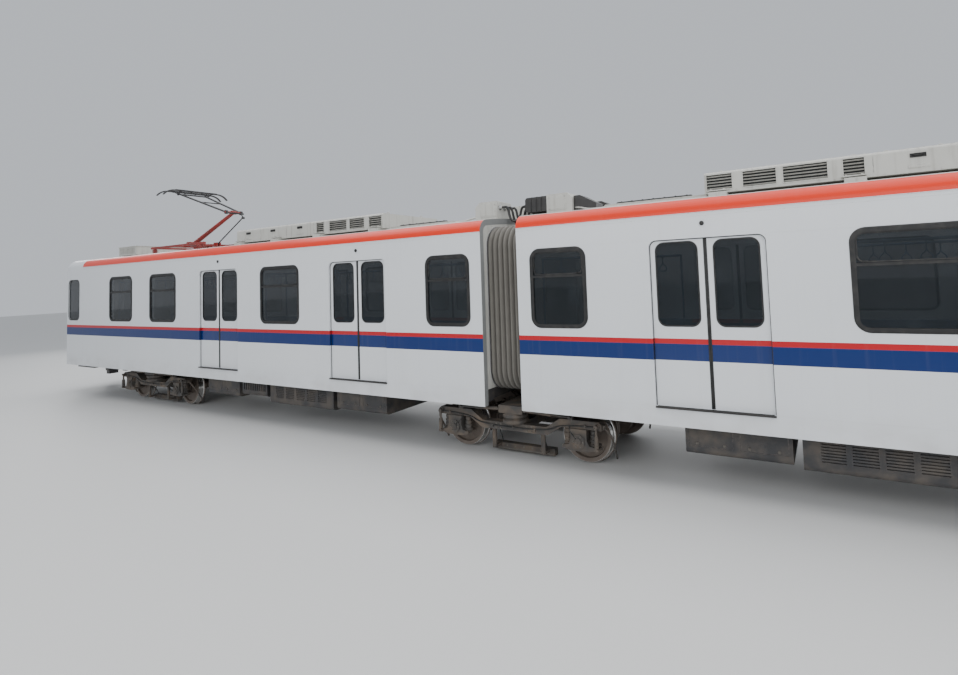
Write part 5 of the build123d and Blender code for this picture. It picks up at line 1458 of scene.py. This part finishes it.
def headTrim():
    low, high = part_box("pantograph_head")
    topZ = high[2]
    strips = []
    middle = (low[0] + high[0]) / 2
    for x in (middle - 0.150, middle + 0.150):
        strip = newBox("carbon", (x - 0.019, -0.50, topZ - 0.004), (x + 0.019, 0.50, topZ + 0.010))
        shape(strip, facing(z=1), ("inset", 0.006), ("push", (0, 0, 0.004)))
        strips.append(roundEdges(strip, 0.003, 2))
        for y in (-0.40, -0.13, 0.13, 0.40):
            clip = newPlate(
                "clip", (x - 0.026, y - 0.014, topZ - 0.034), (x + 0.026, y + 0.014, topZ - 0.008), 0.004,
                0.002, (0, 0, -1), 0.0015,
            )
            strips.append(clip)
    give(joined("carbonStrips", strips), "pantograph_head", "panto_black", carbon)


pantographTrim()
headTrim()
print("pantograph fitted out")


# Saloon: ceiling, lights, floor covering, straps, and the gangway's lining

def saloonInside():
    inside = {
        "near": 0.45, "far": 12.45, "lampY": 0.62, "lampZ": 3.36, "lampWidth": 0.16, "floorY": 1.20,
        "railY": 0.8047, "railZ": 2.900,
    }
    strip = newBox(
        "strip",
        (inside["near"], -inside["lampY"] - inside["lampWidth"] / 2, inside["lampZ"]),
        (inside["far"], -inside["lampY"] + inside["lampWidth"] / 2, inside["lampZ"] + 0.045),
    )
    roundEdges(strip, 0.018, 4)
    onBothSections(strip, "ceilingLamp", "lamp_glass", ceilingGlow)
    ceiling = newBox("ceiling", (0.400, -1.10, 3.400), (12.560, 1.10, 3.425))
    shape(ceiling, facing(z=-1), ("inset", 0.16), ("push", (0, 0, 0.012)))
    roundEdges(ceiling, 0.006, 2)
    onBothSections(ceiling, "ceilingPanel", "cab_plastic", saloonLining, sides=False)
    cover = newBox(
        "cover", (0.66, -inside["floorY"], car["floorZ"] + 0.0005),
        (12.59, inside["floorY"], car["floorZ"] + 0.003),
    )
    roundEdges(cover, 0.001, 1)
    onBothSections(cover, "floorCover", "floor_plate", floorFinish, sides=False)
    strap = newPipe(
        "strap",
        [
            (0, 0, 0), (0, 0.012, -0.06), (0, 0, -0.13), (-0.055, 0, -0.17), (-0.060, 0, -0.245),
            (0.060, 0, -0.245), (0.055, 0, -0.17), (0, 0, -0.13), (0, -0.012, -0.06), (0, 0, 0),
        ],
        0.008, 2,
    )
    sleeve = newTube("sleeve", (-0.018, 0, 0), (0.018, 0, 0), 0.023, 18)
    shape(sleeve, facing(x=1), ("inset", 0.003), ("push", (0.002, 0, 0)))
    pattern = joined("strap", [strap, roundEdges(sleeve, 0.003, 2)])
    places = [
        *along((0.75, 0, 0), (1.80, 0, 0), 4), *along((3.98, 0, 0), (5.85, 0, 0), 6),
        *along((8.05, 0, 0), (11.95, 0, 0), 11),
    ]
    moves = [shift(x, -inside["railY"], inside["railZ"]) for x, _, _ in places]
    onBothSections(repeated("strap", pattern, moves), "straps", "saloon_plastic", seatShell)


def gangwayLining():
    lining = {
        "reach": 0.300, "y": 0.640, "footZ": 1.045, "topZ": 2.930, "thickness": 0.010, "folds": 9,
        "pleat": 0.008,
    }
    wall = newBox(
        "wall", (-lining["reach"], -lining["y"] - lining["thickness"], lining["footZ"]),
        (lining["reach"], -lining["y"], lining["topZ"]),
    )
    roof = newBox(
        "roof", (-lining["reach"], -lining["y"], lining["topZ"] - lining["thickness"]),
        (lining["reach"], lining["y"], lining["topZ"]),
    )
    for part, way in ((wall, Vector((0, -1, 0))), (roof, Vector((0, 0, 1)))):
        shape(part, lambda face: True, ("divide", 2 * lining["folds"] - 1))
        for vertex in part.data.vertices:
            turn = vertex.co.x / lining["reach"] * pi * lining["folds"] / 2
            vertex.co += way * lining["pleat"] * sin(turn) ** 2
    far = moved(wall, mirrorY)
    piece = joined("gangwayLining", [wall, far, roof])
    clad(piece, liningCloth, 50)
    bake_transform(piece)


def bellowsFrames():
    ends = {
        "x": 0.3000, "middleZ": 2.2125, "width": 2.336, "high": 2.470, "corner": 0.33, "band": 0.075,
        "deep": 0.0098,
    }
    for section, start in (("a", -ends["x"] - ends["deep"]), ("b", ends["x"])):
        name = f"bellowsFrame_{section}"
        ring = roundedRing(name, ends["width"], ends["high"], ends["corner"], ends["band"], ends["deep"])
        roundEdges(ring, 0.002, 2)
        ring.data.transform(Matrix.Rotation(pi / 2, 4, "Z"))  # its thickness now runs towards +x
        ring.data.transform(shift(start, 0, ends["middleZ"]))
        give(ring, f"section_{section}", "bellows_rubber", brightTrim)


saloonInside()
gangwayLining()
bellowsFrames()
print("saloon fitted")
